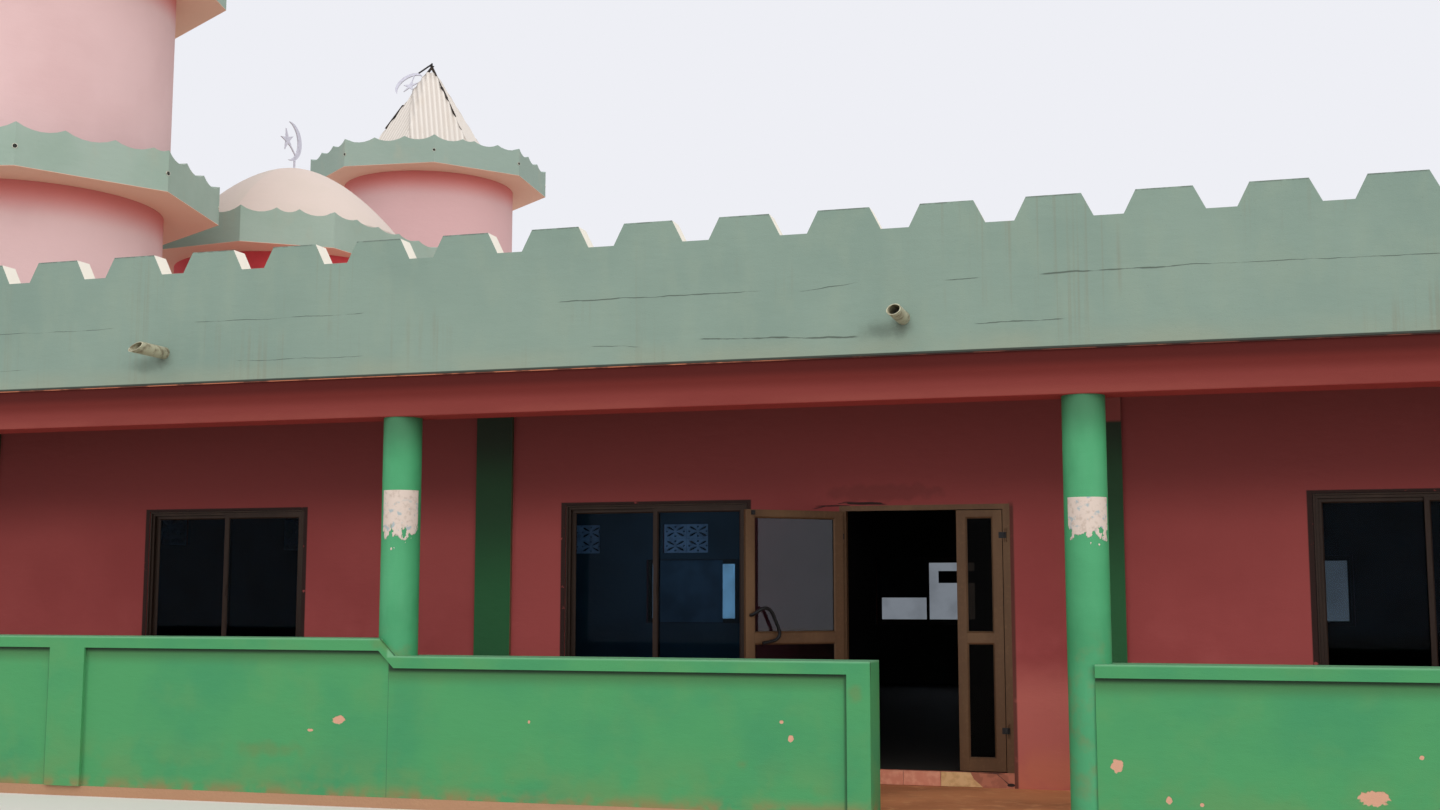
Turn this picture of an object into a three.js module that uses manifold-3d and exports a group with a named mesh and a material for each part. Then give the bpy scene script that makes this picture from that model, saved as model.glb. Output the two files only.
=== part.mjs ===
// A single-storey mosque: a long hall with a front verandah, a crenellated parapet, two round towers
// with octagonal scalloped cornices and sheet-metal roofs at its left end, and a small dome between them.
// Millimetres, +Z up. The origin is on the ground, in the middle of the hall and of its entrance bay.
// +X runs to the right along the front, +Y goes into the building.
import * as THREE from "three";
import { mergeVertices } from "three/addons/utils/BufferGeometryUtils.js";
import Module from "manifold-3d";

const wasm = await Module();
wasm.setup();

// Plan of the hall and the verandah
const HALL_LENGTH = 21200;
const HALL_DEPTH = 13000;
const WALL = 200;
const BAY = 5230;
const OUTER_BAY = 5440;
const VERANDAH_DEPTH = 1765;
const COLUMN_RADIUS = 150;

// Levels above the ground
const VERANDAH_LEVEL = 80;
const HALL_LEVEL = 200;
const BEAM_SOFFIT = 2980;
const SLAB_SOFFIT = 3300;
const SLAB_TOP = 3480;
const CRENEL_LEVEL = 4215;
const MERLON_TOP = 4380;

// The two towers at the left end, each turned a little on its own
const TOWER_X = -9070;
const TOWER_Y = 4930;
const DRUM_SIDES = 96;
const FRONT_TOWER = {
  drumRadius: 1480, upperRadius: 1525, eaveRadius: 2080, turn: THREE.MathUtils.degToRad(14.5),
};
const BACK_TOWER = {
  drumRadius: 1370, upperRadius: 1406, eaveRadius: 1970, turn: THREE.MathUtils.degToRad(6),
};

// Clearance left where a curved or turned piece meets its neighbour
const SEAT_GAP = 0.3;

// How far a cutting shape runs past the piece it cuts
const CUT_SPARE = 10;

// Lines that the sizes above give
const END_FACE = HALL_LENGTH / 2;
const END_INNER = END_FACE - WALL;
const FRONT_FACE = -HALL_DEPTH / 2;
const FRONT_INNER = FRONT_FACE + WALL;
const BACK_FACE = HALL_DEPTH / 2;
const BACK_INNER = BACK_FACE - WALL;
const COLUMN_LINE = FRONT_FACE - VERANDAH_DEPTH;

const mosque = new THREE.Group();
mosque.name = "mosque_building";

// Colours and finishes
const finish = (color, roughness, metalness = 0) =>
  new THREE.MeshStandardMaterial({ color, roughness, metalness });
const RED_PLASTER = () => finish(0x9c4640, 0.85);
const DARK_RED = () => finish(0x7a2a26, 0.8);
const SAGE = () => finish(0x8b9d8e, 0.85);
const GREEN = () => finish(0x48a468, 0.75);
const PINK = () => finish(0xd8b4b2, 0.8);
const CREAM = () => finish(0xe1d5ca, 0.8);
const SHEET_METAL = () => finish(0xe6dfd4, 0.55, 0.2);
const CONCRETE = () => finish(0xa59a8c, 0.9);
const BRONZE = () => finish(0x6b4a36, 0.45, 0.6);
const GLASS = () => finish(0x1b2733, 0.1);
const BLACK_METAL = () => finish(0x1c1c1c, 0.4, 0.5);
const SILVER = () => finish(0xc2c4c8, 0.4, 0.6);
const PIPE_PLASTIC = () => finish(0xa7a48f, 0.6);

function addMesh(name, geometry, material, parent = mosque) {
  const mesh = new THREE.Mesh(geometry, material);
  mesh.name = name;
  parent.add(mesh);
  return mesh;
}

// A box given by its lowest and highest corners
function box(low, high) {
  const size = high.map((value, axis) => value - low[axis]);
  const geometry = new THREE.BoxGeometry(...size);
  geometry.translate(...high.map((value, axis) => (value + low[axis]) / 2));
  return geometry;
}

function cylinder(radius, bottom, top, sides) {
  const geometry = new THREE.CylinderGeometry(radius, radius, top - bottom, sides);
  geometry.rotateX(Math.PI / 2);
  geometry.translate(0, 0, (top + bottom) / 2);
  return geometry;
}

// Joins and cuts of closed shapes
function toSolid(geometry) {
  const bare = geometry.clone();
  bare.deleteAttribute("normal");
  bare.deleteAttribute("uv");
  const merged = mergeVertices(bare);
  return new wasm.Manifold(new wasm.Mesh({
    numProp: 3,
    vertProperties: new Float32Array(merged.attributes.position.array),
    triVerts: new Uint32Array(merged.index.array),
  }));
}

function toGeometry(solid) {
  const mesh = solid.getMesh();
  const geometry = new THREE.BufferGeometry();
  geometry.setAttribute("position", new THREE.BufferAttribute(new Float32Array(mesh.vertProperties), 3));
  geometry.setIndex(new THREE.BufferAttribute(new Uint32Array(mesh.triVerts), 1));
  geometry.computeVertexNormals();
  return geometry;
}

function join(...geometries) {
  return toGeometry(geometries.map(toSolid).reduce((sum, solid) => sum.add(solid)));
}

function cut(geometry, ...tools) {
  return toGeometry(tools.map(toSolid).reduce((rest, tool) => rest.subtract(tool), toSolid(geometry)));
}

// An upright panel: an outline in X and Z with rectangular holes, from yFront to yBack
function panel(points, holes, yFront, yBack) {
  const shape = new THREE.Shape(points.map(([x, z]) => new THREE.Vector2(x, z)));
  const geometry = new THREE.ExtrudeGeometry(shape, { depth: yBack - yFront, bevelEnabled: false });
  geometry.rotateX(Math.PI / 2);
  geometry.translate(0, yBack, 0);
  if (holes.length === 0) {
    return geometry;
  }
  return cut(geometry, ...holes.map(([left, bottom, right, top]) =>
    box([left, yFront - CUT_SPARE, bottom], [right, yBack + CUT_SPARE, top])));
}

function rectangle(left, bottom, right, top) {
  return [[left, bottom], [right, bottom], [right, top], [left, top]];
}

// Openings: windows and vents sit at the same place in every bay they belong to
const WINDOW_WIDTH = 1640;
const WINDOW_HEAD = 2380;
const FRONT_SILL = 900;
const BACK_SILL = 1130;
const BACK_HEAD = 2180;
const FRONT_WINDOWS = [-5335, -1125, 5015];
const BACK_WINDOWS = [-4800, -900, 4660];
const VENT_WIDTH = 790;
const VENT_SILL = 2290;
const VENT_HEAD = 2770;
const BACK_VENTS = [-6840, -4930, 2620, 4530];
const END_VENTS = [-3250, 0, 3250];
const DOOR_LEFT = 490;
const DOOR_RIGHT = 1890;
const DOOR_HEAD = 2335;
const PILASTER_WIDTH = 340;
const PILASTER_PROUD = 35;

const windowHole = (centre, sill, head) =>
  [centre - WINDOW_WIDTH / 2, sill, centre + WINDOW_WIDTH / 2, head];
const ventHole = (centre) => [centre - VENT_WIDTH / 2, VENT_SILL, centre + VENT_WIDTH / 2, VENT_HEAD];
const columnPlaces = [-BAY / 2 - OUTER_BAY, -BAY / 2, BAY / 2, BAY / 2 + OUTER_BAY];

function buildFloors() {
  const riser = box([DOOR_LEFT, FRONT_FACE, 0], [DOOR_RIGHT, FRONT_INNER, HALL_LEVEL]);
  const floor = box([-END_INNER, FRONT_INNER, 0], [END_INNER, BACK_INNER, HALL_LEVEL]);
  addMesh("hall_floor", join(floor, riser), CONCRETE());
  addMesh("verandah_floor", box([-END_INNER, VERANDAH_FRONT, 0], [END_INNER, FRONT_FACE, VERANDAH_LEVEL]),
    CONCRETE());
}

// The front wall carries a square pilaster behind each column, up to the roof slab
function frontWallPart(name, left, right, windows) {
  const holes = windows.map((centre) => windowHole(centre, FRONT_SILL, WINDOW_HEAD));
  const wall = panel(rectangle(left, 0, right, SLAB_SOFFIT), holes, FRONT_FACE, FRONT_INNER);
  const pilasters = columnPlaces
    .filter((x) => x > left && x < right)
    .map((x) => box([x - PILASTER_WIDTH / 2, FRONT_FACE - PILASTER_PROUD, VERANDAH_LEVEL],
      [x + PILASTER_WIDTH / 2, FRONT_INNER, SLAB_SOFFIT]));
  addMesh(name, join(wall, ...pilasters), RED_PLASTER());
}

function buildWalls() {
  frontWallPart("front_wall_left", -END_INNER, DOOR_LEFT, FRONT_WINDOWS.slice(0, 2));
  frontWallPart("front_wall_right", DOOR_RIGHT, END_INNER, FRONT_WINDOWS.slice(2));
  addMesh("front_wall_over_door",
    box([DOOR_LEFT, FRONT_FACE, DOOR_HEAD], [DOOR_RIGHT, FRONT_INNER, SLAB_SOFFIT]), RED_PLASTER());
  const backHoles = [
    ...BACK_WINDOWS.map((centre) => windowHole(centre, BACK_SILL, BACK_HEAD)),
    ...BACK_VENTS.map(ventHole),
  ];
  addMesh("back_wall", panel(rectangle(-END_INNER, 0, END_INNER, SLAB_SOFFIT), backHoles,
    BACK_INNER, BACK_FACE), RED_PLASTER());
  for (const [name, inner] of [["left_end_wall", -END_FACE], ["right_end_wall", END_INNER]]) {
    const wall = panel(rectangle(VERANDAH_FRONT, 0, BACK_FACE, SLAB_SOFFIT), END_VENTS.map(ventHole),
      -inner - WALL, -inner);
    wall.rotateZ(Math.PI / 2);
    addMesh(name, wall, RED_PLASTER());
  }
}

// Edge beam over the columns
const BEAM_WIDTH = 310;
const BEAM_FRONT = COLUMN_LINE - 160;
const BEAM_BACK = BEAM_FRONT + BEAM_WIDTH;
const PARAPET_FRONT = BEAM_FRONT - 20;
const PARAPET = 160;
const VERANDAH_FRONT = BEAM_FRONT;

function buildRoof() {
  addMesh("verandah_beam", box([-END_INNER, BEAM_FRONT, BEAM_SOFFIT], [END_INNER, BEAM_BACK, SLAB_SOFFIT]),
    DARK_RED());
  const inset = PARAPET - PARAPET_PROUD;
  addMesh("roof_slab", box([-END_FACE + inset, PARAPET_FRONT + PARAPET, SLAB_SOFFIT],
    [END_FACE - inset, BACK_FACE - inset, SLAB_TOP]), CONCRETE());
}

// Parapets with trapezoid merlons
const PARAPET_PROUD = 20;
const MERLON_PITCH = BAY / 7;
const MERLON_TOP_WIDTH = 380;
const MERLON_FOOT_WIDTH = 545;
const FIRST_MERLON = 217;
const SPOUT_RADIUS = 50;
const SPOUT_BORE = 43;
const SPOUT_LEVEL = 3560;
const SPOUT_REACH = 450;
const SPOUT_SLANT = 0.9;
const SPOUTS = [-4690, 1390, 7470];

function crenellated(left, right, yFront, yBack, phase) {
  const points = [[left, SLAB_SOFFIT], [right, SLAB_SOFFIT], [right, CRENEL_LEVEL]];
  const spare = MERLON_FOOT_WIDTH / 2;
  const first = Math.floor((right - spare - phase) / MERLON_PITCH);
  for (let step = first; phase + step * MERLON_PITCH - spare > left; step -= 1) {
    const centre = phase + step * MERLON_PITCH;
    points.push([centre + MERLON_FOOT_WIDTH / 2, CRENEL_LEVEL]);
    points.push([centre + MERLON_TOP_WIDTH / 2, MERLON_TOP]);
    points.push([centre - MERLON_TOP_WIDTH / 2, MERLON_TOP]);
    points.push([centre - MERLON_FOOT_WIDTH / 2, CRENEL_LEVEL]);
  }
  points.push([left, CRENEL_LEVEL]);
  return panel(points, [], yFront, yBack);
}

// A pipe along Y through the front parapet, cut at a slant at its outer end
function spoutPipe(radius, front, back) {
  const pipe = new THREE.CylinderGeometry(radius, radius, back - front, 20);
  pipe.translate(0, (back + front) / 2, 0);
  return pipe;
}

function buildParapets() {
  const outer = END_FACE + PARAPET_PROUD;
  const backOuter = BACK_FACE + PARAPET_PROUD;
  const front = crenellated(-outer, outer, PARAPET_FRONT, PARAPET_FRONT + PARAPET, FIRST_MERLON);
  const bores = SPOUTS.map((x) => {
    const bore = spoutPipe(SPOUT_RADIUS + SEAT_GAP,
      PARAPET_FRONT - CUT_SPARE, PARAPET_FRONT + PARAPET + CUT_SPARE);
    return bore.translate(x, 0, SPOUT_LEVEL);
  });
  addMesh("front_parapet", cut(front, ...bores), SAGE());
  addMesh("back_parapet", crenellated(-outer, outer, backOuter - PARAPET, backOuter, FIRST_MERLON), SAGE());
  const endRun = (near) => {
    const run = crenellated(PARAPET_FRONT + PARAPET, backOuter - PARAPET, near, near + PARAPET, 0);
    return run.rotateZ(Math.PI / 2);
  };
  const towerSeat = cylinder(FRONT_TOWER.drumRadius + SEAT_GAP,
    SLAB_SOFFIT - CUT_SPARE, MERLON_TOP + CUT_SPARE, DRUM_SIDES);
  towerSeat.translate(TOWER_X, -TOWER_Y, 0);
  addMesh("left_parapet", cut(endRun(outer - PARAPET), towerSeat), SAGE());
  addMesh("right_parapet", endRun(-outer), SAGE());
}

function buildSpouts() {
  const front = PARAPET_FRONT - SPOUT_REACH;
  const back = PARAPET_FRONT + PARAPET + 60;
  SPOUTS.forEach((x, index) => {
    const slant = box([-200, -400, 0], [200, 400, 400]);
    slant.rotateX(Math.PI / 2 - SPOUT_SLANT);
    slant.translate(0, front + 10, -SPOUT_RADIUS);
    const pipe = cut(spoutPipe(SPOUT_RADIUS, front, back),
      spoutPipe(SPOUT_BORE, front - CUT_SPARE, back + CUT_SPARE), slant);
    pipe.translate(x, 0, SPOUT_LEVEL);
    addMesh(`roof_spout_${index + 1}`, pipe, PIPE_PLASTIC());
  });
}

function buildColumns() {
  columnPlaces.forEach((x, index) => {
    const column = cylinder(COLUMN_RADIUS, VERANDAH_LEVEL, BEAM_SOFFIT, 40);
    column.translate(x, COLUMN_LINE, 0);
    addMesh(`column_${index + 1}`, column, GREEN());
  });
}

// Balustrade: a thick low wall whose cap and piers stand proud of its panels
const CAP_HIGH = 1270;
const CAP_LOW = 1140;
const CAP_DEPTH = 90;
const CAP_PROUD = 30;
const PIER_WIDTH = 330;
const PIER_CENTRE = -5490;
const END_PIER_WIDTH = 168;
const ENTRANCE_LEFT = 1125;
const PANEL_BACK = COLUMN_LINE + 120;

// The cap's upper edge as points from left to right; a run is the wall under it with the cap on top
function balustradeRun(capEdge, piers) {
  const left = capEdge[0][0];
  const right = capEdge[capEdge.length - 1][0];
  const wall = panel([[left, VERANDAH_LEVEL], [right, VERANDAH_LEVEL], ...[...capEdge].reverse()], [],
    VERANDAH_FRONT, PANEL_BACK);
  const lowered = capEdge.map(([x, z]) => [x, z - CAP_DEPTH]);
  const cap = panel([...lowered, ...[...capEdge].reverse()], [],
    VERANDAH_FRONT - CAP_PROUD, PANEL_BACK + CAP_PROUD);
  const posts = piers.map(([from, to, top]) => box([from, VERANDAH_FRONT - CAP_PROUD, VERANDAH_LEVEL],
    [to, PANEL_BACK + CAP_PROUD, top - CAP_DEPTH / 2]));
  const sockets = columnPlaces.filter((x) => x > left - COLUMN_RADIUS && x < right + COLUMN_RADIUS)
    .map((x) => cylinder(COLUMN_RADIUS + SEAT_GAP, 0, CAP_HIGH + 100, 40).translate(x, COLUMN_LINE, 0));
  return cut(join(wall, cap, ...posts), ...sockets);
}

function buildBalustrades() {
  const stepLeft = -2685;
  const stepRight = stepLeft + (CAP_HIGH - CAP_LOW);
  const half = PIER_WIDTH / 2;
  addMesh("balustrade_left", balustradeRun(
    [[-END_INNER, CAP_HIGH], [stepLeft, CAP_HIGH], [stepRight, CAP_LOW], [ENTRANCE_LEFT, CAP_LOW]],
    [[PIER_CENTRE - half, PIER_CENTRE + half, CAP_HIGH],
      [ENTRANCE_LEFT - END_PIER_WIDTH, ENTRANCE_LEFT, CAP_LOW]]), GREEN());
  addMesh("balustrade_right", balustradeRun(
    [[columnPlaces[2] + 44, CAP_LOW], [END_INNER, CAP_LOW]],
    [[-PIER_CENTRE - half, -PIER_CENTRE + half, CAP_LOW]]), GREEN());
}

// Aluminium sliding windows: an outer frame with the meeting stiles, and the glass seated behind them
const FRAME_DEPTH = 90;
const FRAME_FACE = 62;
const MEETING_STILE = 80;
const GLASS_THICKNESS = 6;
const GLASS_REBATE = 12;

function windowUnit(frameName, glassName, centre, sill, head, outerFace, outward) {
  const [left, , right] = windowHole(centre, sill, head);
  const near = Math.min(outerFace, outerFace - outward * FRAME_DEPTH);
  const panes = [
    [left + FRAME_FACE, sill + FRAME_FACE, centre - MEETING_STILE / 2, head - FRAME_FACE],
    [centre + MEETING_STILE / 2, sill + FRAME_FACE, right - FRAME_FACE, head - FRAME_FACE],
  ];
  const frame = panel(rectangle(left, sill, right, head), panes, near, near + FRAME_DEPTH);
  const seat = near + FRAME_DEPTH / 2;
  const inset = FRAME_FACE - GLASS_REBATE;
  const rebate = box([left + inset, outward < 0 ? seat : near - 1, sill + inset],
    [right - inset, outward < 0 ? near + FRAME_DEPTH + 1 : seat, head - inset]);
  addMesh(frameName, cut(frame, rebate), BRONZE());
  const glassNear = outward < 0 ? seat : seat - GLASS_THICKNESS;
  const edge = inset + SEAT_GAP;
  const glass = box([left + edge, glassNear, sill + edge],
    [right - edge, glassNear + GLASS_THICKNESS, head - edge]);
  addMesh(glassName, glass, GLASS());
}

function buildWindows() {
  FRONT_WINDOWS.forEach((centre, index) => windowUnit(`front_window_${index + 1}`,
    `front_window_glass_${index + 1}`, centre, FRONT_SILL, WINDOW_HEAD, FRONT_FACE, -1));
  BACK_WINDOWS.forEach((centre, index) => windowUnit(`back_window_${index + 1}`,
    `back_window_glass_${index + 1}`, centre, BACK_SILL, BACK_HEAD, BACK_FACE, 1));
}

// Door: an aluminium frame, a wide leaf standing open and a narrow leaf shut, both glazed from behind.
// Each leaf turns on butt hinges whose barrels stand on the frame's face, clear of the leaf's edge
const DOOR_JAMB = 57;
const DOOR_FRAME_HEAD = 42;
const DOOR_FRAME_DEPTH = 70;
const LEAF_THICKNESS = 35;
const LEAF_SIDE_GAP = 5.5;
const LEAF_MEETING_GAP = 9;
const LEAF_TOP_GAP = 6;
const LEAF_FOOT_GAP = 8;
const NARROW_LEAF_WIDTH = 369.5;
const LEAF_STILE = 75;
const LEAF_TOP_RAIL = 55;
const LEAF_MID_RAIL = 80;
const LEAF_FOOT_RAIL = 97;
const MID_RAIL_FOOT = 1220;
const WIDE_LEAF_REST = THREE.MathUtils.degToRad(138);
const LEAF_FOOT = HALL_LEVEL + LEAF_FOOT_GAP;
const LEAF_TOP = DOOR_HEAD - DOOR_FRAME_HEAD - LEAF_TOP_GAP;
const PIVOT_INSET = 22;
const PIVOT_PROUD = 10;
const BARREL_RADIUS = 8;
const BARREL_LENGTH = 110;
const BARREL_MIDDLE = 50;
const BARREL_LEVELS = [528, 2082];
const HINGE_PLATE_WIDTH = 28;
const HINGE_PLATE_PROUD = 3;

// A leaf in its own frame: hinge axis on Z, shut along +X, outer face PIVOT_PROUD behind the axis.
// Its half of each hinge is the middle of the barrel with a plate that laps onto the leaf's face
function leafParts(width) {
  const left = PIVOT_INSET + LEAF_SIDE_GAP;
  const right = left + width;
  const holes = [
    [left + LEAF_STILE, LEAF_FOOT + LEAF_FOOT_RAIL, right - LEAF_STILE, MID_RAIL_FOOT],
    [left + LEAF_STILE, MID_RAIL_FOOT + LEAF_MID_RAIL, right - LEAF_STILE, LEAF_TOP - LEAF_TOP_RAIL],
  ];
  const back = PIVOT_PROUD + LEAF_THICKNESS;
  const seat = back - GLASS_THICKNESS - 4;
  const leaf = panel(rectangle(left, LEAF_FOOT, right, LEAF_TOP), holes, PIVOT_PROUD, back);
  const sheet = (gap, from, to) => box(
    [left + LEAF_STILE - GLASS_REBATE + gap, from, LEAF_FOOT + LEAF_FOOT_RAIL - GLASS_REBATE + gap],
    [right - LEAF_STILE + GLASS_REBATE - gap, to, LEAF_TOP - LEAF_TOP_RAIL + GLASS_REBATE - gap]);
  const hinges = BARREL_LEVELS.flatMap((level) => {
    const low = level - BARREL_MIDDLE / 2 + SEAT_GAP;
    const high = level + BARREL_MIDDLE / 2 - SEAT_GAP;
    const plateFace = PIVOT_PROUD - HINGE_PLATE_PROUD;
    return [
      cylinder(BARREL_RADIUS, low, high, 24),
      box([0, plateFace, low], [left + HINGE_PLATE_WIDTH, PIVOT_PROUD - SEAT_GAP, high]),
      box([left + 1, plateFace, low], [left + HINGE_PLATE_WIDTH, PIVOT_PROUD + 1, high]),
    ];
  });
  return {
    leaf: join(cut(leaf, sheet(0, seat, back + CUT_SPARE)), ...hinges),
    glass: sheet(SEAT_GAP, seat + SEAT_GAP, seat + SEAT_GAP + GLASS_THICKNESS),
  };
}

// The frame's half of each hinge: the two ends of the barrel and a plate on the jamb
function frameHinges(pivotX, towardsJamb) {
  return BARREL_LEVELS.flatMap((level) => [-1, 1].flatMap((end) => {
    const reach = [level + end * BARREL_MIDDLE / 2, level + end * BARREL_LENGTH / 2].sort((a, b) => a - b);
    const plate = [pivotX, pivotX + towardsJamb * HINGE_PLATE_WIDTH].sort((a, b) => a - b);
    return [
      cylinder(BARREL_RADIUS, reach[0], reach[1], 24).translate(pivotX, FRONT_FACE - PIVOT_PROUD, 0),
      box([plate[0], FRONT_FACE - HINGE_PLATE_PROUD, reach[0]], [plate[1], FRONT_FACE + 1, reach[1]]),
    ];
  }));
}

// The wide leaf's big D-shaped pull has lost its lower bolt and hangs askew from the upper one.
// The bar's middle line, in the leaf's frame, as [along the leaf, out from its inner face, level]
const PULL_RADIUS = 14;
const PULL_LINE = [
  [881, 0, 1443], [877, 20, 1445], [857, 38, 1460], [800, 55, 1495], [756, 55, 1495], [721, 55, 1467],
  [686, 55, 1395], [655, 55, 1323], [650, 55, 1284], [678, 55, 1250], [731, 55, 1233], [801, 55, 1222],
];

function pullHandle() {
  const face = PIVOT_PROUD + LEAF_THICKNESS + SEAT_GAP;
  const points = PULL_LINE.map(([x, out, z]) => new THREE.Vector3(x, face + out, z));
  const line = new THREE.CatmullRomCurve3(points);
  const section = new THREE.Shape();
  section.absarc(0, 0, PULL_RADIUS, 0, Math.PI * 2);
  const bar = new THREE.ExtrudeGeometry(section, { steps: 48, extrudePath: line, curveSegments: 6 });
  const [foot] = PULL_LINE;
  const behindFace = box([foot[0] - 50, face - 50, foot[2] - 50], [foot[0] + 50, face, foot[2] + 50]);
  return cut(bar, behindFace);
}

function buildDoor() {
  const clear = [DOOR_LEFT + DOOR_JAMB, HALL_LEVEL - CUT_SPARE,
    DOOR_RIGHT - DOOR_JAMB, DOOR_HEAD - DOOR_FRAME_HEAD];
  const frame = panel(rectangle(DOOR_LEFT, HALL_LEVEL, DOOR_RIGHT, DOOR_HEAD), [clear],
    FRONT_FACE, FRONT_FACE + DOOR_FRAME_DEPTH);
  const leftPivot = DOOR_LEFT + DOOR_JAMB - PIVOT_INSET;
  const rightPivot = DOOR_RIGHT - DOOR_JAMB + PIVOT_INSET;
  const hinges = [...frameHinges(leftPivot, -1), ...frameHinges(rightPivot, 1)];
  addMesh("door_frame", join(frame, ...hinges), BRONZE());

  const clearWidth = DOOR_RIGHT - DOOR_LEFT - 2 * DOOR_JAMB;
  const wideHinge = new THREE.Group();
  wideHinge.position.set(leftPivot, FRONT_FACE - PIVOT_PROUD, 0);
  wideHinge.rotation.z = -WIDE_LEAF_REST;
  mosque.add(wideHinge);
  const wide = leafParts(clearWidth - 2 * LEAF_SIDE_GAP - LEAF_MEETING_GAP - NARROW_LEAF_WIDTH);
  addMesh("wide_leaf", wide.leaf, BRONZE(), wideHinge);
  addMesh("wide_leaf_glass", wide.glass, GLASS(), wideHinge);
  addMesh("door_handle", pullHandle(), BLACK_METAL(), wideHinge);

  const narrow = leafParts(NARROW_LEAF_WIDTH);
  const mirror = (geometry) => toGeometry(toSolid(geometry).mirror([1, 0, 0]))
    .translate(rightPivot, FRONT_FACE - PIVOT_PROUD, 0);
  addMesh("narrow_leaf", mirror(narrow.leaf), BRONZE());
  addMesh("narrow_leaf_glass", mirror(narrow.glass), GLASS());
}

// Scalloped cornices: a slab with an upstand whose top edge hangs in shallow arcs between cusps
const UPSTAND = 110;
const CORNICE_SLAB = 150;
const CORNICE_HEIGHT = 450;
const SCALLOP_DEPTH = 68;
const SCALLOP_STEPS = 6;
const THIRDS = [1 / 3, 2 / 3];

// Points along one side from corner a to corner b, with the height of the edge at each
function scallopedSide(a, b, cusps, top) {
  const stops = [0, ...cusps, 1];
  const points = [];
  for (let part = 0; part + 1 < stops.length; part += 1) {
    const span = stops[part + 1] - stops[part];
    const depth = SCALLOP_DEPTH * Math.min(1, span * 3);
    for (let step = 0; step < SCALLOP_STEPS; step += 1) {
      const along = step / SCALLOP_STEPS;
      const t = stops[part] + span * along;
      const sag = depth * Math.sin(Math.PI * along) ** 0.8;
      points.push([a[0] + (b[0] - a[0]) * t, a[1] + (b[1] - a[1]) * t, top - sag]);
    }
  }
  return points;
}

// corners run anticlockwise; cuspLists gives the cusps of each side; bottom is the soffit level
function corniceGeometry(corners, cuspLists, bottom) {
  const top = bottom + CORNICE_HEIGHT;
  const floor = bottom + CORNICE_SLAB;
  const sides = corners.length;
  const inner = insetCorners(corners, UPSTAND);
  const edge = [];
  const innerEdge = [];
  for (let side = 0; side < sides; side += 1) {
    const next = (side + 1) % sides;
    edge.push(...scallopedSide(corners[side], corners[next], cuspLists[side], top));
    innerEdge.push(...scallopedSide(inner[side], inner[next], cuspLists[side], top));
  }
  const count = edge.length;
  const positions = [];
  edge.forEach(([x, y]) => positions.push(x, y, bottom));
  edge.forEach(([x, y, z]) => positions.push(x, y, z));
  innerEdge.forEach(([x, y, z]) => positions.push(x, y, z));
  innerEdge.forEach(([x, y]) => positions.push(x, y, floor));
  positions.push(0, 0, bottom, 0, 0, floor);
  const indices = [];
  for (let i = 0; i < count; i += 1) {
    const j = (i + 1) % count;
    for (let ring = 0; ring < 3; ring += 1) {
      const low = ring * count;
      const high = low + count;
      indices.push(low + i, low + j, high + j, low + i, high + j, high + i);
    }
    indices.push(4 * count, j, i);
    indices.push(4 * count + 1, 3 * count + i, 3 * count + j);
  }
  const geometry = new THREE.BufferGeometry();
  geometry.setAttribute("position", new THREE.Float32BufferAttribute(positions, 3));
  geometry.setIndex(indices);
  geometry.computeVertexNormals();
  return geometry;
}

// Move each side of a convex outline inwards and meet the neighbours again
function insetCorners(corners, distance) {
  const lines = corners.map((from, index) => {
    const to = corners[(index + 1) % corners.length];
    const length = Math.hypot(to[0] - from[0], to[1] - from[1]);
    const direction = [(to[0] - from[0]) / length, (to[1] - from[1]) / length];
    return { point: [from[0] - direction[1] * distance, from[1] + direction[0] * distance], direction };
  });
  return lines.map((line, index) => {
    const before = lines[(index + lines.length - 1) % lines.length];
    const cross = before.direction[0] * line.direction[1] - before.direction[1] * line.direction[0];
    const gap = [line.point[0] - before.point[0], line.point[1] - before.point[1]];
    const reach = (gap[0] * line.direction[1] - gap[1] * line.direction[0]) / cross;
    return [before.point[0] + before.direction[0] * reach, before.point[1] + before.direction[1] * reach];
  });
}

function octagon(radius, turn) {
  return Array.from({ length: 8 }, (_, index) => {
    const angle = turn + Math.PI / 8 + index * Math.PI / 4;
    return [radius * Math.cos(angle), radius * Math.sin(angle)];
  });
}

function tube(outer, wall, bottom, top) {
  return cut(cylinder(outer, bottom, top, DRUM_SIDES),
    cylinder(outer - wall, bottom - CUT_SPARE, top + CUT_SPARE, DRUM_SIDES));
}

// Six flat sheets leaning together, open below
const ROOF_SHELL = 40;
const TOWER_ROOF_RISE = 2050;
const TOWER_ROOF_RADIUS = 1340;

function sheetRoof(bottom) {
  const profile = [
    new THREE.Vector2(TOWER_ROOF_RADIUS - ROOF_SHELL, 0),
    new THREE.Vector2(TOWER_ROOF_RADIUS, 0),
    new THREE.Vector2(0, TOWER_ROOF_RISE),
    new THREE.Vector2(0, TOWER_ROOF_RISE - ROOF_SHELL * TOWER_ROOF_RISE / TOWER_ROOF_RADIUS),
    new THREE.Vector2(TOWER_ROOF_RADIUS - ROOF_SHELL, 0),
  ];
  const roof = new THREE.LatheGeometry(profile, 6);
  roof.rotateX(Math.PI / 2);
  roof.translate(0, 0, bottom);
  return roof;
}

// Crescent and star on a pole, flat in X and Z, standing at the origin. A strut ties the star to the
// crescent, and the pole meets the crescent's lower curve nearer its back
const CRESCENT_RADIUS = 262;
const CRESCENT_BREADTH = 85;
const CRESCENT_HALF_ANGLE = THREE.MathUtils.degToRad(98);
const CRESCENT_THICKNESS = 16;
const STAR_RADIUS = 155;
const STAR_WAIST = 0.3;
const STAR_SHIFT = 70;
const STAR_TURN = THREE.MathUtils.degToRad(-40);
const STRUT_LENGTH = 262;
const STRUT_WIDTH = 16;
const POLE_RADIUS = 14;
const POLE_ANGLE = THREE.MathUtils.degToRad(65);
const TOWER_POLE = 285;
const DOME_POLE = 125;

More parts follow.
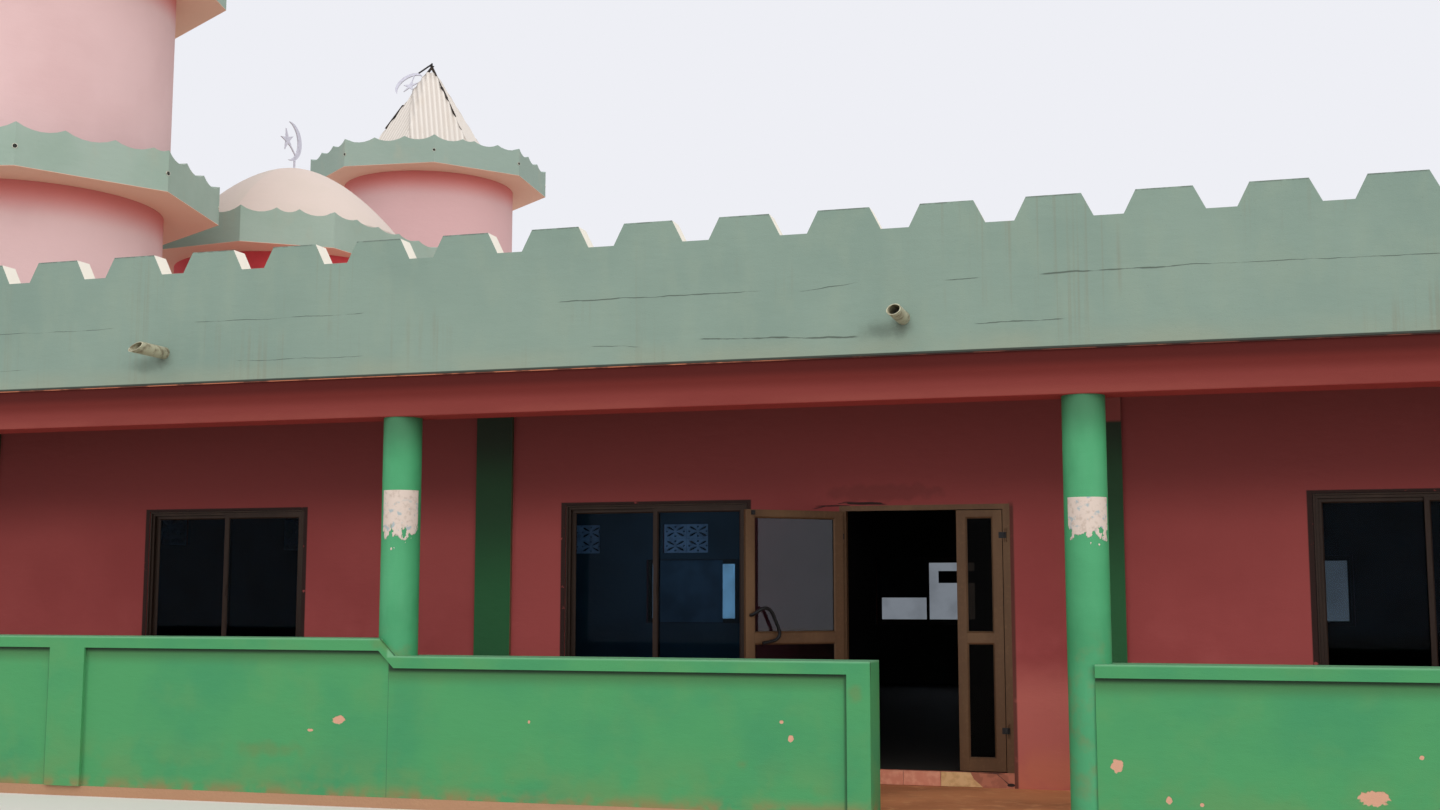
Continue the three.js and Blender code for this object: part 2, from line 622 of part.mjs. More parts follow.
function crescentAndStar(poleHeight) {
  const steps = 28;
  const turns = Array.from({ length: steps + 1 }, (_, step) => (2 * step / steps - 1) * CRESCENT_HALF_ANGLE);
  const at = (radius, angle) => new THREE.Vector2(radius * Math.cos(angle), radius * Math.sin(angle));
  const outer = turns.map((angle) => at(CRESCENT_RADIUS, angle));
  const inner = turns.slice(1, -1).reverse().map((angle) =>
    at(CRESCENT_RADIUS - CRESCENT_BREADTH * (1 - (angle / CRESCENT_HALF_ANGLE) ** 2), angle));
  const star = Array.from({ length: 10 }, (_, point) =>
    at(point % 2 ? STAR_RADIUS * STAR_WAIST : STAR_RADIUS, STAR_TURN + point * Math.PI / 5));
  const [crescentPlate, starPlate] = [[...outer, ...inner], star].map((outline) =>
    new THREE.ExtrudeGeometry(new THREE.Shape(outline), { depth: CRESCENT_THICKNESS, bevelEnabled: false }));
  const strut = box([0, -STRUT_WIDTH / 2, 0], [STRUT_LENGTH, STRUT_WIDTH / 2, CRESCENT_THICKNESS]);
  strut.rotateZ(STAR_TURN);
  starPlate.translate(-STAR_SHIFT, 0, 0);
  strut.translate(-STAR_SHIFT, 0, 0);
  const figure = join(crescentPlate, starPlate, strut);
  figure.rotateX(Math.PI / 2);
  figure.translate(-CRESCENT_RADIUS * Math.cos(POLE_ANGLE), CRESCENT_THICKNESS / 2,
    poleHeight + CRESCENT_RADIUS * Math.sin(POLE_ANGLE));
  return join(figure, cylinder(POLE_RADIUS, 0, poleHeight + POLE_RADIUS, 12));
}

// A tower: two drums, each under a scalloped octagonal cornice, and a six-sided sheet roof
const DRUM_WALL = 150;
const LOWER_SOFFIT = 5834;
const UPPER_SOFFIT = 8400;
const ROOF_TURN = THREE.MathUtils.degToRad(4.7);

function buildTower(name, place, { drumRadius, upperRadius, eaveRadius, turn }, lowerCusps, upperCusps) {
  const tower = new THREE.Group();
  tower.position.set(place[0], place[1], 0);
  mosque.add(tower);
  const outline = octagon(eaveRadius, turn);
  const upperFoot = LOWER_SOFFIT + CORNICE_SLAB;
  const roofFoot = UPPER_SOFFIT + CORNICE_SLAB;
  addMesh(`${name}_lower_drum`, tube(drumRadius, DRUM_WALL, SLAB_TOP, LOWER_SOFFIT), PINK(), tower);
  addMesh(`${name}_lower_cornice`, corniceGeometry(outline, lowerCusps, LOWER_SOFFIT), SAGE(), tower);
  addMesh(`${name}_upper_drum`, tube(upperRadius, DRUM_WALL, upperFoot, UPPER_SOFFIT), PINK(), tower);
  addMesh(`${name}_upper_cornice`, corniceGeometry(outline, upperCusps, UPPER_SOFFIT), SAGE(), tower);
  const roof = sheetRoof(roofFoot);
  roof.rotateZ(ROOF_TURN);
  addMesh(`${name}_roof`, roof, SHEET_METAL(), tower);
  return tower;
}

function buildTowers() {
  const everySide = Array.from({ length: 8 }, () => THIRDS);
  const frontCusps = everySide.map((cusps, side) => (side === 6 ? [0.31, 0.635, 0.895] : cusps));
  const backCusps = everySide.map((cusps, side) => (side === 6 ? [0.33, 0.46, 0.74] : cusps));
  const front = buildTower("front_tower", [TOWER_X, -TOWER_Y], FRONT_TOWER, frontCusps, everySide);
  const back = buildTower("back_tower", [TOWER_X, TOWER_Y], BACK_TOWER, everySide, backCusps);
  const apex = UPPER_SOFFIT + CORNICE_SLAB + TOWER_ROOF_RISE;
  const upright = crescentAndStar(TOWER_POLE);
  upright.translate(0, 0, apex + SEAT_GAP);
  addMesh("front_tower_crescent", upright, SILVER(), front);
  addMesh("back_tower_crescent", fallenCrescent(apex), SILVER(), back);
}

// The back tower's crescent has toppled: its pole is bent over at the peak, and it hangs clear of the
// roof's left side, turned half away from the front
function fallenCrescent(apex) {
  const stubHeight = 30;
  const [lean, tilt, turn] = [-132, -30, -8].map((angle) => THREE.MathUtils.degToRad(angle));
  const figure = crescentAndStar(TOWER_POLE);
  figure.rotateY(lean);
  figure.rotateX(tilt);
  figure.rotateZ(turn);
  figure.translate(0, 0, stubHeight);
  const fallen = join(figure, cylinder(POLE_RADIUS, SEAT_GAP, stubHeight + POLE_RADIUS, 12));
  return fallen.translate(0, 0, apex);
}

// The dome stands between the towers on a round drum and a chamfered scalloped slab
const DOME_PLACE = [-8155, -865];
const DOME_TURN = THREE.MathUtils.degToRad(-7.5);
const DOME_DRUM_RADIUS = 1480;
const DOME_SLAB_HALF = [1550, 1920];
const DOME_CHAMFER = 790;
const DOME_RISE = 1270;
const DOME_SHOULDER = 330;
const DOME_RADIUS = 1430;
const DOME_POWER = 1.82;
const DOME_SHELL = 90;

function chamferedOutline([halfX, halfY], chamfer) {
  const x = halfX - chamfer;
  const y = halfY - chamfer;
  return [
    [halfX, -y], [halfX, y], [x, halfY], [-x, halfY],
    [-halfX, y], [-halfX, -y], [-x, -halfY], [x, -halfY],
  ];
}

// Height of the dome's surface above its slab, at a distance from its axis
function domeRise(radius) {
  return DOME_RISE - (DOME_RISE - DOME_SHOULDER) * (radius / DOME_RADIUS) ** DOME_POWER;
}

// An upright skirt up to the shoulder, then the dome; the inside is the same shape, a shell smaller
function domeShell(bottom) {
  const steps = 14;
  const outside = Array.from({ length: steps + 1 }, (_, index) => {
    const radius = DOME_RADIUS * (1 - index / steps);
    return new THREE.Vector2(radius, domeRise(radius));
  });
  outside.unshift(new THREE.Vector2(DOME_RADIUS, 0));
  const inside = outside.map(({ x, y }) => new THREE.Vector2(
    x * (1 - DOME_SHELL / DOME_RADIUS), y * (1 - DOME_SHELL / DOME_RISE)));
  const shell = new THREE.LatheGeometry([...outside, ...inside.reverse(), outside[0]], DRUM_SIDES / 2);
  shell.rotateX(Math.PI / 2);
  shell.translate(0, 0, bottom);
  return shell;
}

function buildDome() {
  const dome = new THREE.Group();
  dome.position.set(DOME_PLACE[0], DOME_PLACE[1], 0);
  mosque.add(dome);
  const cosine = Math.cos(DOME_TURN);
  const sine = Math.sin(DOME_TURN);
  const outline = chamferedOutline(DOME_SLAB_HALF, DOME_CHAMFER)
    .map(([x, y]) => [x * cosine - y * sine, x * sine + y * cosine]);
  const longSide = [0.2, 0.4, 0.6, 0.8];
  const shortSide = [0.38, 0.62];
  const cusps = [longSide, shortSide, THIRDS, shortSide, longSide, shortSide, THIRDS, shortSide];
  const shellFoot = LOWER_SOFFIT + CORNICE_SLAB;
  addMesh("dome_drum", tube(DOME_DRUM_RADIUS, DRUM_WALL, SLAB_TOP, LOWER_SOFFIT), DARK_RED(), dome);
  addMesh("dome_cornice", corniceGeometry(outline, cusps, LOWER_SOFFIT), SAGE(), dome);
  addMesh("dome_shell", domeShell(shellFoot), CREAM(), dome);
  const crescent = crescentAndStar(DOME_POLE);
  crescent.rotateZ(THREE.MathUtils.degToRad(88));
  crescent.translate(0, 0, shellFoot + DOME_RISE + SEAT_GAP);
  addMesh("dome_crescent", crescent, SILVER(), dome);
}

buildFloors();
buildWalls();
buildRoof();
buildParapets();
buildSpouts();
buildColumns();
buildBalustrades();
buildWindows();
buildDoor();
buildTowers();
buildDome();

export default mosque;
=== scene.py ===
import math
import random

import bmesh
import bpy
from mathutils import Matrix, Vector, noise


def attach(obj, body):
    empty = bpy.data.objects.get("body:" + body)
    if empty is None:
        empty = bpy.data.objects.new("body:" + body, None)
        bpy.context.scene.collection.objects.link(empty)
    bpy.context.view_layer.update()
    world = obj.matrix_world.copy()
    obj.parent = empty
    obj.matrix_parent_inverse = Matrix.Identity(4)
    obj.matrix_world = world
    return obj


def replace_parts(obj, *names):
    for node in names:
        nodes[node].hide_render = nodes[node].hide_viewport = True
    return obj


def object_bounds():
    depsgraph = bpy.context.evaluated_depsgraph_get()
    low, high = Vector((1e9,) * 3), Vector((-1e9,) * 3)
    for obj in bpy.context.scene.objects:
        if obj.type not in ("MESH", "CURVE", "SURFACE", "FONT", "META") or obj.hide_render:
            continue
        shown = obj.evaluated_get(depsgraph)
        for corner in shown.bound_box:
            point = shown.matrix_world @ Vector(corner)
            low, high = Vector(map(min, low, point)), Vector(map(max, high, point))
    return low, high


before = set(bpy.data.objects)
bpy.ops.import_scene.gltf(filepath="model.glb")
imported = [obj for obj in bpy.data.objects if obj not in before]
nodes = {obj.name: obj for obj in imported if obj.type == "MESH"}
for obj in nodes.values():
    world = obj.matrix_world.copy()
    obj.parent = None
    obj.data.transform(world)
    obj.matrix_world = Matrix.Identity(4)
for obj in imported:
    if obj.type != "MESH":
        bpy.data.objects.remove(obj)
cad_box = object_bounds()

# The camera stands on the forecourt at eye height, right of the entrance, and looks up and left along
# the front of the building.
camera_data = bpy.data.cameras.new("camera")
camera_data.sensor_width = 36.0
camera_data.lens = 41.09
camera = bpy.data.objects.new("camera", camera_data)
camera.location = (3.4125, -19.876, 1.6125)
camera.rotation_euler = (math.radians(96.55), 0.0, math.radians(16.47))
bpy.context.scene.collection.objects.link(camera)
bpy.context.scene.camera = camera


# The studio: a pale floor under a pale overcast sky, one broad soft light from the front right and a
# lower one that reaches in under the verandah. A dim lamp hangs inside the hall's left bay.
def tone(red, green, blue):
    """A colour given as it looks on a screen, as the linear values that shading works with."""
    shares = (value / 255 for value in (red, green, blue))
    return tuple(s / 12.92 if s <= 0.04045 else ((s + 0.055) / 1.055) ** 2.4 for s in shares) + (1.0,)


bpy.context.scene.view_settings.view_transform = "Standard"
world = bpy.data.worlds.new("overcast")
world.use_nodes = True
world.node_tree.nodes["Background"].inputs["Color"].default_value = tone(238, 239, 245)
world.node_tree.nodes["Background"].inputs["Strength"].default_value = 1.0
bpy.context.scene.world = world


def add_light(name, kind, energy, turn, **settings):
    light = bpy.data.objects.new(name, bpy.data.lights.new(name, kind))
    light.data.energy = energy
    light.rotation_euler = [math.radians(angle) for angle in turn]
    for key, value in settings.items():
        setattr(light.data, key, value)
    bpy.context.scene.collection.objects.link(light)
    return light


add_light("sky_light", "SUN", 1.6, (48, 0, 30), angle=math.radians(100)).visible_glossy = False
add_light("low_light", "SUN", 0.65, (72, 0, 34), angle=math.radians(60)).visible_glossy = False
hall_lamp = add_light("hall_lamp", "AREA", 7.0, (80, 0, 12), size=1.2, spread=math.radians(110))
hall_lamp.location = (-4.6, 3.4, 2.6)

FLOOR_REACH = 60.0
floor_mesh = bpy.data.meshes.new("studio_floor")
floor_mesh.from_pydata([(-FLOOR_REACH, -FLOOR_REACH, 0), (FLOOR_REACH, -FLOOR_REACH, 0),
                        (FLOOR_REACH, FLOOR_REACH, 0), (-FLOOR_REACH, FLOOR_REACH, 0)], [], [(0, 1, 2, 3)])
studio_floor = bpy.data.objects.new("studio_floor", floor_mesh)
bpy.context.scene.collection.objects.link(studio_floor)
floor_material = bpy.data.materials.new("studio_floor")
floor_material.use_nodes = True
floor_shader = floor_material.node_tree.nodes["Principled BSDF"]
floor_shader.inputs["Base Color"].default_value = tone(214, 208, 200)
floor_shader.inputs["Roughness"].default_value = 0.95
floor_mesh.materials.append(floor_material)


# The hall's walls: sandcrete blocks rendered with cement plaster and brushed with red emulsion outside.
# The square pilasters behind the columns are green like them, and the hall inside is painted dark. On the
# front wall under the verandah roof, painted shade darkens the wall high up and the pilasters' green, and
# dust and painted light brighten the wall near its foot. Painted shade darkens the hall beyond its left bay.
class Coat:
    """A finish built up as a painter would: a base colour, layers laid over it through masks, relief.
    Colours are given as they look on a screen."""

    def __init__(self, name, colour, roughness, metallic=0.0):
        self.material = bpy.data.materials.new(name)
        self.material.use_nodes = True
        self.shader = self.material.node_tree.nodes["Principled BSDF"]
        self.shader.inputs["Roughness"].default_value = roughness
        self.shader.inputs["Metallic"].default_value = metallic
        self.colour = tone(*colour)
        self.normal = None
        self.place = self.add("ShaderNodeTexCoord").outputs["Object"]
        self.axes = self.add("ShaderNodeSeparateXYZ", Vector=self.place).outputs

    def plug(self, socket, value):
        if isinstance(value, bpy.types.NodeSocket):
            self.material.node_tree.links.new(value, socket)
        else:
            socket.default_value = value

    def add(self, kind, settings=None, **inputs):
        node = self.material.node_tree.nodes.new(kind)
        for name, value in (settings or {}).items():
            setattr(node, name, value)
        for name, value in inputs.items():
            self.plug(node.inputs[name.replace("_", " ")], value)
        return node

    def maths(self, operation, first, second=0.0):
        node = self.add("ShaderNodeMath", {"operation": operation})
        self.plug(node.inputs[0], first)
        self.plug(node.inputs[1], second)
        return node.outputs[0]

    def ramp(self, value, start, end):
        """0 where the value is at start and 1 where it is at end, eased between."""
        node = self.add("ShaderNodeMapRange", {"interpolation_type": "SMOOTHSTEP"},
                        Value=value, From_Min=start, From_Max=end)
        return node.outputs["Result"]

    def along(self, axis, start, end):
        return self.ramp(self.axes["XYZ".index(axis)], start, end)

    def between(self, axis, low, high, blur):
        return self.both(self.along(axis, low - blur, low + blur), self.along(axis, high + blur, high - blur))

    def noise(self, size, stretch=(1, 1, 1), detail=5.0, shift=0.0):
        """Random values about this size in metres; stretch below 1 draws them out along that axis."""
        moved = self.add("ShaderNodeMapping", Vector=self.place, Scale=stretch, Location=(shift,) * 3)
        node = self.add("ShaderNodeTexNoise", Vector=moved.outputs["Vector"], Scale=1 / size, Detail=detail)
        return node.outputs["Fac"]

    def clouds(self, size, start=0.4, end=0.6, **options):
        return self.ramp(self.noise(size, **options), start, end)

    def spot(self, place, reach, ragged=0.5, size=0.05, blur=0.15):
        """A patch with an uneven edge round a place, reaching this far along each axis."""
        local = self.add("ShaderNodeMapping", Vector=self.place, Scale=[1 / length for length in reach],
                         Location=[-middle / length for middle, length in zip(place, reach)])
        distance = self.add("ShaderNodeVectorMath", {"operation": "LENGTH"}, Vector=local.outputs["Vector"])
        uneven = self.maths("MULTIPLY", self.maths("SUBTRACT", self.noise(size), 0.5), 2 * ragged)
        return self.ramp(self.maths("ADD", distance.outputs["Value"], uneven), 1.0, 1.0 - blur)

    def crack(self, start, end, width, sway=0.03):
        """A wandering crack across X between two (x, z) places, thick and thin by turns."""
        fall = (end[1] - start[1]) / (end[0] - start[0])
        line = self.maths("ADD", self.maths("MULTIPLY", self.axes[0], fall), start[1] - fall * start[0])
        swing = self.maths("MULTIPLY", self.maths("SUBTRACT", self.noise(0.3, (1, 0, 0)), 0.5), 2 * sway)
        gap = self.maths("ABSOLUTE", self.maths("SUBTRACT", self.axes[2], self.maths("ADD", line, swing)))
        uneven = self.clouds(0.16, 0.26, 0.62, stretch=(1, 0, 0), shift=start[0])
        breadth = self.maths("MULTIPLY", uneven, width)
        edge = self.add("ShaderNodeMapRange", {"interpolation_type": "SMOOTHSTEP"},
                        Value=gap, From_Min=breadth, From_Max=0.0)
        return self.both(edge.outputs["Result"], self.between("X", start[0], end[0], 0.03))

    def both(self, *masks):
        total = masks[0]
        for mask in masks[1:]:
            total = self.maths("MULTIPLY", total, mask)
        return total

    def either(self, *masks):
        total = masks[0]
        for mask in masks[1:]:
            total = self.maths("MAXIMUM", total, mask)
        return total

    def lay(self, colour, mask, strength=1.0):
        if strength != 1.0:
            mask = self.maths("MULTIPLY", mask, strength)
        node = self.add("ShaderNodeMix", {"data_type": "RGBA"})
        self.plug(node.inputs[0], mask)
        self.plug(node.inputs[6], self.colour)
        self.plug(node.inputs[7], tone(*colour))
        self.colour = node.outputs[2]
        return self

    def relief(self, height, depth):
        node = self.add("ShaderNodeBump", Height=height, Distance=depth)
        if self.normal is not None:
            self.plug(node.inputs["Normal"], self.normal)
        self.normal = node.outputs["Normal"]
        return self

    def plaster_relief(self):
        """Hand-floated plaster: slow waves, trowel marks and a fine sandy grain."""
        self.relief(self.clouds(0.5, 0.2, 0.8, detail=2.0), 0.006)
        self.relief(self.clouds(0.06, 0.2, 0.8, stretch=(0.4, 0.4, 1)), 0.0015)
        return self.relief(self.clouds(0.006, 0.2, 0.8, detail=2.0), 0.0005)

    def done(self):
        self.plug(self.shader.inputs["Base Color"], self.colour)
        if self.normal is not None:
            self.plug(self.shader.inputs["Normal"], self.normal)
        return self.material


def dress(material, *names):
    for name in names:
        nodes[name].data.materials.clear()
        nodes[name].data.materials.append(material)


def soften(*names):
    """Rounds the plastered edges of CAD nodes a little."""
    for name in names:
        modifiers = nodes[name].modifiers
        modifiers.new("weld", "WELD").merge_threshold = 0.0001
        flat = modifiers.new("flat", "DECIMATE")
        flat.decimate_type = "DISSOLVE"
        flat.angle_limit = math.radians(0.5)
        edge = modifiers.new("edge", "BEVEL")
        edge.width = 0.006
        edge.segments = 2
        edge.limit_method = "ANGLE"
        edge.angle_limit = math.radians(25)


def round_off(names, angle=30):
    """Smooth shading for the turned surfaces of CAD nodes, with their true edges kept."""
    for name in names:
        mesh = nodes[name].data
        mesh.polygons.foreach_set("use_smooth", [True] * len(mesh.polygons))
        nodes[name].modifiers.new("weld", "WELD").merge_threshold = 0.0001
        nodes[name].modifiers.new("edges", "EDGE_SPLIT").split_angle = math.radians(angle)


FRONT_FACE = -6.5
BACK_FACE = 6.5
END_FACE = 10.6
WALL = 0.2
DOOR_LEFT = 0.49
DOOR_RIGHT = 1.89
FRONT_WINDOWS = (-5.335, -1.125, 5.015)
RIM_SIDES = (-0.862, 0.856)
RIM_LEVELS = (0.885, 2.402)
COLUMN_X = (-8.055, -2.615, 2.615, 8.055)
PILASTER_REACH = 0.17
SHADE_LEVELS = (2.05, 2.65)
DUST_AND_LIGHT_LEVELS = (1.15, 0.75)
SPLASH_LEVELS = (0.5, 0.2)

walls = Coat("red_wall_paint", (160, 72, 69), 0.82)
walls.lay((143, 59, 57), walls.clouds(1.8, 0.35, 0.7))
# Lighter in patches low down on the walls: dust, and painted light from the low sky.
walls.lay((170, 82, 78), walls.both(walls.clouds(0.35, 0.45, 0.75), walls.along("Z", 1.8, 1.0)), 0.6)
sheltered = walls.both(walls.along("Y", FRONT_FACE + 0.003, FRONT_FACE + 0.001),
                       walls.between("X", -END_FACE + 0.004, END_FACE - 0.004, 0.002))
# Painted shade: the front wall under the verandah roof darkens upwards towards the beam.
walls.lay((124, 50, 48), walls.both(sheltered, walls.along("Z", *SHADE_LEVELS)))
# Dust and painted light: the front wall under the verandah is lighter towards its foot, where more sky
# reaches in.
walls.lay((186, 100, 90), walls.both(sheltered, walls.along("Z", *DUST_AND_LIGHT_LEVELS)))
walls.lay((198, 114, 88), walls.both(walls.along("Z", *SPLASH_LEVELS), walls.clouds(0.3, 0.3, 0.55)), 0.8)
# Painted shadow: a brown strip of shade down the wall beside the door frame's right jamb.
door_jamb_shadow = walls.both(sheltered, walls.between("X", DOOR_RIGHT - 0.01, DOOR_RIGHT + 0.03, 0.008),
                        walls.along("Z", 2.37, 2.30), walls.clouds(0.12, 0.2, 0.4))
walls.lay((74, 38, 28), door_jamb_shadow, 0.85)
soot_over_door = walls.spot((0.85, FRONT_FACE, 2.44), (0.62, 0.05, 0.09), ragged=0.7, size=0.1, blur=0.5)
walls.lay((96, 40, 36), soot_over_door, 0.4)
for centre in FRONT_WINDOWS:
    rim = walls.both(sheltered, walls.between("X", *(centre + side for side in RIM_SIDES), 0.006),
                     walls.between("Z", *RIM_LEVELS, 0.005))
    walls.lay((44, 24, 19), walls.both(rim, walls.clouds(0.06, 0.25, 0.35)))
crack_over_door = walls.either(walls.crack((0.28, 2.318), (0.56, 2.366), 0.012, 0.008),
                               walls.crack((0.54, 2.364), (0.88, 2.344), 0.016, 0.006),
                               walls.spot((0.71, FRONT_FACE, 2.354), (0.16, 0.05, 0.012), 0.3),
                               walls.spot((0.44, FRONT_FACE, 2.338), (0.15, 0.05, 0.006), 0.3))
walls.lay((36, 16, 14), walls.both(sheltered, crack_over_door))
for x in COLUMN_X:
    pilaster = walls.both(sheltered, walls.between("X", x - PILASTER_REACH, x + PILASTER_REACH, 0.002))
    # Painted shade: the pilasters are laid a darker green than the columns, darkening further towards the
    # beam.
    walls.lay((36, 92, 52), pilaster)
    walls.lay((30, 66, 38), walls.both(pilaster, walls.along("Z", 1.5, 2.4)))
    walls.lay((26, 40, 24), walls.both(pilaster, walls.along("Z", 2.5, 3.0)))
    if x > 0:
        walls.lay((132, 60, 56), walls.both(pilaster, walls.along("Z", 2.96, 2.99)))
inner_reach = [face - WALL + 0.045 for face in (BACK_FACE, END_FACE)]
inside = walls.both(*(walls.between(axis, -reach, reach, 0.005) for axis, reach in zip("YX", inner_reach)))
walls.lay((78, 84, 92), inside)
# Painted shade: beyond its left bay the inside of the hall is laid near black.
walls.lay((40, 38, 36), walls.both(inside, walls.along("X", -3.6, -3.2)))
walls.plaster_relief()
dress(walls.done(), "front_wall_left", "front_wall_right", "front_wall_over_door",
      "back_wall", "left_end_wall", "right_end_wall")
soften("back_wall", "left_end_wall", "right_end_wall")


# The floors: a screeded concrete verandah, one riser below the polished floor of the hall.
# The riser under the door is tiled, and its right end has lost its tiles.
VERANDAH_EDGE = (-8.36, -8.42)
verandah = Coat("verandah_screed", (211, 141, 93), 0.85)
verandah.lay((180, 116, 75), verandah.clouds(0.9, 0.4, 0.65))
verandah.lay((232, 174, 122), verandah.clouds(0.12, 0.5, 0.75), 0.5)
verandah.lay((158, 122, 94), verandah.along("Y", *VERANDAH_EDGE), 0.9)
verandah.relief(verandah.clouds(0.02, 0.3, 0.7), 0.001)
dress(verandah.done(), "verandah_floor")

terrazzo = Coat("hall_terrazzo", (44, 42, 38), 0.55)
terrazzo.lay((62, 58, 52), terrazzo.clouds(0.012, 0.55, 0.6, detail=1.0))
terrazzo.lay((30, 27, 25), terrazzo.clouds(0.015, 0.6, 0.66, detail=1.0, shift=4.0))
riser = terrazzo.along("Y", FRONT_FACE + 0.03, FRONT_FACE + 0.002)
terrazzo.lay((180, 110, 84), riser)
terrazzo.lay((150, 88, 66), terrazzo.both(riser, terrazzo.clouds(0.06, 0.45, 0.6)), 0.7)
riser_crack = terrazzo.either(terrazzo.crack((1.50, 0.197), (1.79, 0.193), 0.010, 0.003),
                              terrazzo.crack((1.75, 0.190), (1.86, 0.100), 0.014, 0.012),
                              terrazzo.spot((1.862, FRONT_FACE, 0.106), (0.034, 0.05, 0.014)))
terrazzo.lay((30, 16, 12), riser_crack)
dress(terrazzo.done(), "hall_floor")


def mottled(name, colour, patches, size, start, end, roughness, metallic=0.0, strength=1.0):
    """A plain finish: one colour with soft patches of another, about this size in metres."""
    finish = Coat(name, colour, roughness, metallic)
    finish.lay(patches, finish.clouds(size, start, end), strength)
    return finish.done()


def new_piece(name, shape, finish, body="building", edge=0.0, smooth=False):
    """Turns a shape into a named piece with its finish, and fixes it to the body it belongs to."""
    bmesh.ops.recalc_face_normals(shape, faces=shape.faces)
    mesh = bpy.data.meshes.new(name)
    shape.to_mesh(mesh)
    shape.free()
    mesh.materials.append(finish)
    mesh.polygons.foreach_set("use_smooth", [smooth] * len(mesh.polygons))
    if smooth:
        mesh.set_sharp_from_angle(angle=math.radians(35))
    piece = bpy.data.objects.new(name, mesh)
    bpy.context.scene.collection.objects.link(piece)
    if edge:
        bevel = piece.modifiers.new("edge", "BEVEL")
        bevel.width = edge
        bevel.segments = 2
        bevel.limit_method = "ANGLE"
        bevel.angle_limit = math.radians(35)
    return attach(piece, body)


def join_rings(shape, near, far):
    """A band of faces between two closed rings of as many points each."""
    for index in range(len(near)):
        after = (index + 1) % len(near)
        shape.faces.new((near[index], far[index], far[after], near[after]))


def add_plate(shape, outline, near, far, place=Matrix.Identity(4)):
    """A flat plate: an outline of (x, z) points, from depth near to depth far along Y."""
    face, back = ([shape.verts.new(place @ Vector((x, y, z))) for x, z in outline] for y in (near, far))
    shape.faces.new(face)
    shape.faces.new(back[::-1])
    join_rings(shape, face, back)


def add_bar(shape, low, high, place=Matrix.Identity(4)):
    """A straight bar given by its lowest and highest corners."""
    outline = [(low[0], low[2]), (high[0], low[2]), (high[0], high[2]), (low[0], high[2])]
    add_plate(shape, outline, low[1], high[1], place)


TILE_FOOT = 0.083
TILE_HEAD = 0.196
TILE_FACE = FRONT_FACE - 0.009
TILE_BED = FRONT_FACE - 0.001
TILE_EDGE = 0.0015
TILE_ENDS = [(0.494, 0.698), (0.702, 0.999), (1.003, 1.302)]
BROKEN_TILE = [(1.306, TILE_HEAD), (1.306, TILE_FOOT), (1.640, TILE_FOOT), (1.612, 0.108), (1.570, 0.142),
               (1.541, TILE_HEAD)]
pink_tile = mottled("pink_tile", (214, 138, 112), (226, 160, 132), 0.05, 0.4, 0.7, 0.3)
sandy_tile = mottled("sandy_tile", (222, 182, 130), (204, 160, 108), 0.04, 0.4, 0.7, 0.3)
for number, (left, right) in enumerate(TILE_ENDS, 1):
    tile = bmesh.new()
    add_bar(tile, (left, TILE_FACE, TILE_FOOT), (right, TILE_BED, TILE_HEAD))
    new_piece(f"riser_tile_{number}", tile, pink_tile, edge=TILE_EDGE)
tile = bmesh.new()
add_plate(tile, BROKEN_TILE, TILE_FACE, TILE_BED)
new_piece("riser_tile_broken", tile, sandy_tile, edge=TILE_EDGE)


# The verandah beam and the roof slab: concrete cast over the columns and walls. The beam is plastered
# and painted dark red; painted shade darkens its top under the parapet, and painted light brightens its
# lower half and its underside. The slab is bare above and painted below.
BEAM_SOFFIT = 2.98
SLAB_SOFFIT = 3.3
beam = Coat("beam_paint", (115, 50, 45), 0.8)
beam.shader.inputs["Specular IOR Level"].default_value = 0.15
# Painted light: the beam's lower half is lighter in patches, lit from below.
beam.lay((126, 60, 53), beam.both(beam.along("Z", 3.07, 3.0), beam.clouds(1.2, 0.3, 0.6)), 0.8)
# Painted shade: the top of the beam darkens under the parapet.
beam.lay((95, 35, 30), beam.along("Z", 3.06, 3.16))
beam.lay((75, 25, 21), beam.along("Z", 3.16, 3.23))
beam.lay((108, 48, 43), beam.along("Y", -8.41, -8.38))
# Painted light: the underside of the beam, lit from the floor below.
beam.lay((150, 54, 50), beam.along("Z", BEAM_SOFFIT + 0.003, BEAM_SOFFIT + 0.001))
beam.plaster_relief()
dress(beam.done(), "verandah_beam")
soften("verandah_beam")

slab = Coat("slab_concrete", (196, 188, 176), 0.92)
slab.lay((168, 160, 148), slab.clouds(1.5, 0.4, 0.65))
slab.lay((210, 202, 188), slab.clouds(0.2, 0.5, 0.7), 0.5)
slab.lay((150, 88, 74), slab.along("Z", SLAB_SOFFIT + 0.01, SLAB_SOFFIT))
slab.relief(slab.clouds(0.05, 0.3, 0.7), 0.003)
dress(slab.done(), "roof_slab")


# The parapets: thin block walls on the roof's edge, topped with trapezoid merlons and painted sage green.
# The merlons' tops and sloping sides show the pale undercoat, and two long cracks cross the front.
PARAPETS = ["front_parapet", "back_parapet", "left_parapet", "right_parapet"]
PARAPET_FACE = -8.44
CRENEL_LEVEL = 4.215
MERLON_TOP = 4.38
SPOUT_X = (-4.69, 1.39, 7.47)
UPPER_CRACKS = [
    ((-9.8, 3.8), (-5.2, 3.78), 0.0045),
    ((-4.4, 3.8), (-2.9, 3.8), 0.0054),
    ((-1.23, 3.808), (0.33, 3.81), 0.0081),
    ((0.65, 3.793), (1.05, 3.83), 0.0063),
    ((1.69, 3.81), (1.92, 3.826), 0.0081),
    ((2.37, 3.823), (3.3, 3.833), 0.0108),
    ((3.3, 3.833), (4.93, 3.819), 0.0054),
    ((5.2, 3.82), (9.6, 3.82), 0.0054),
]
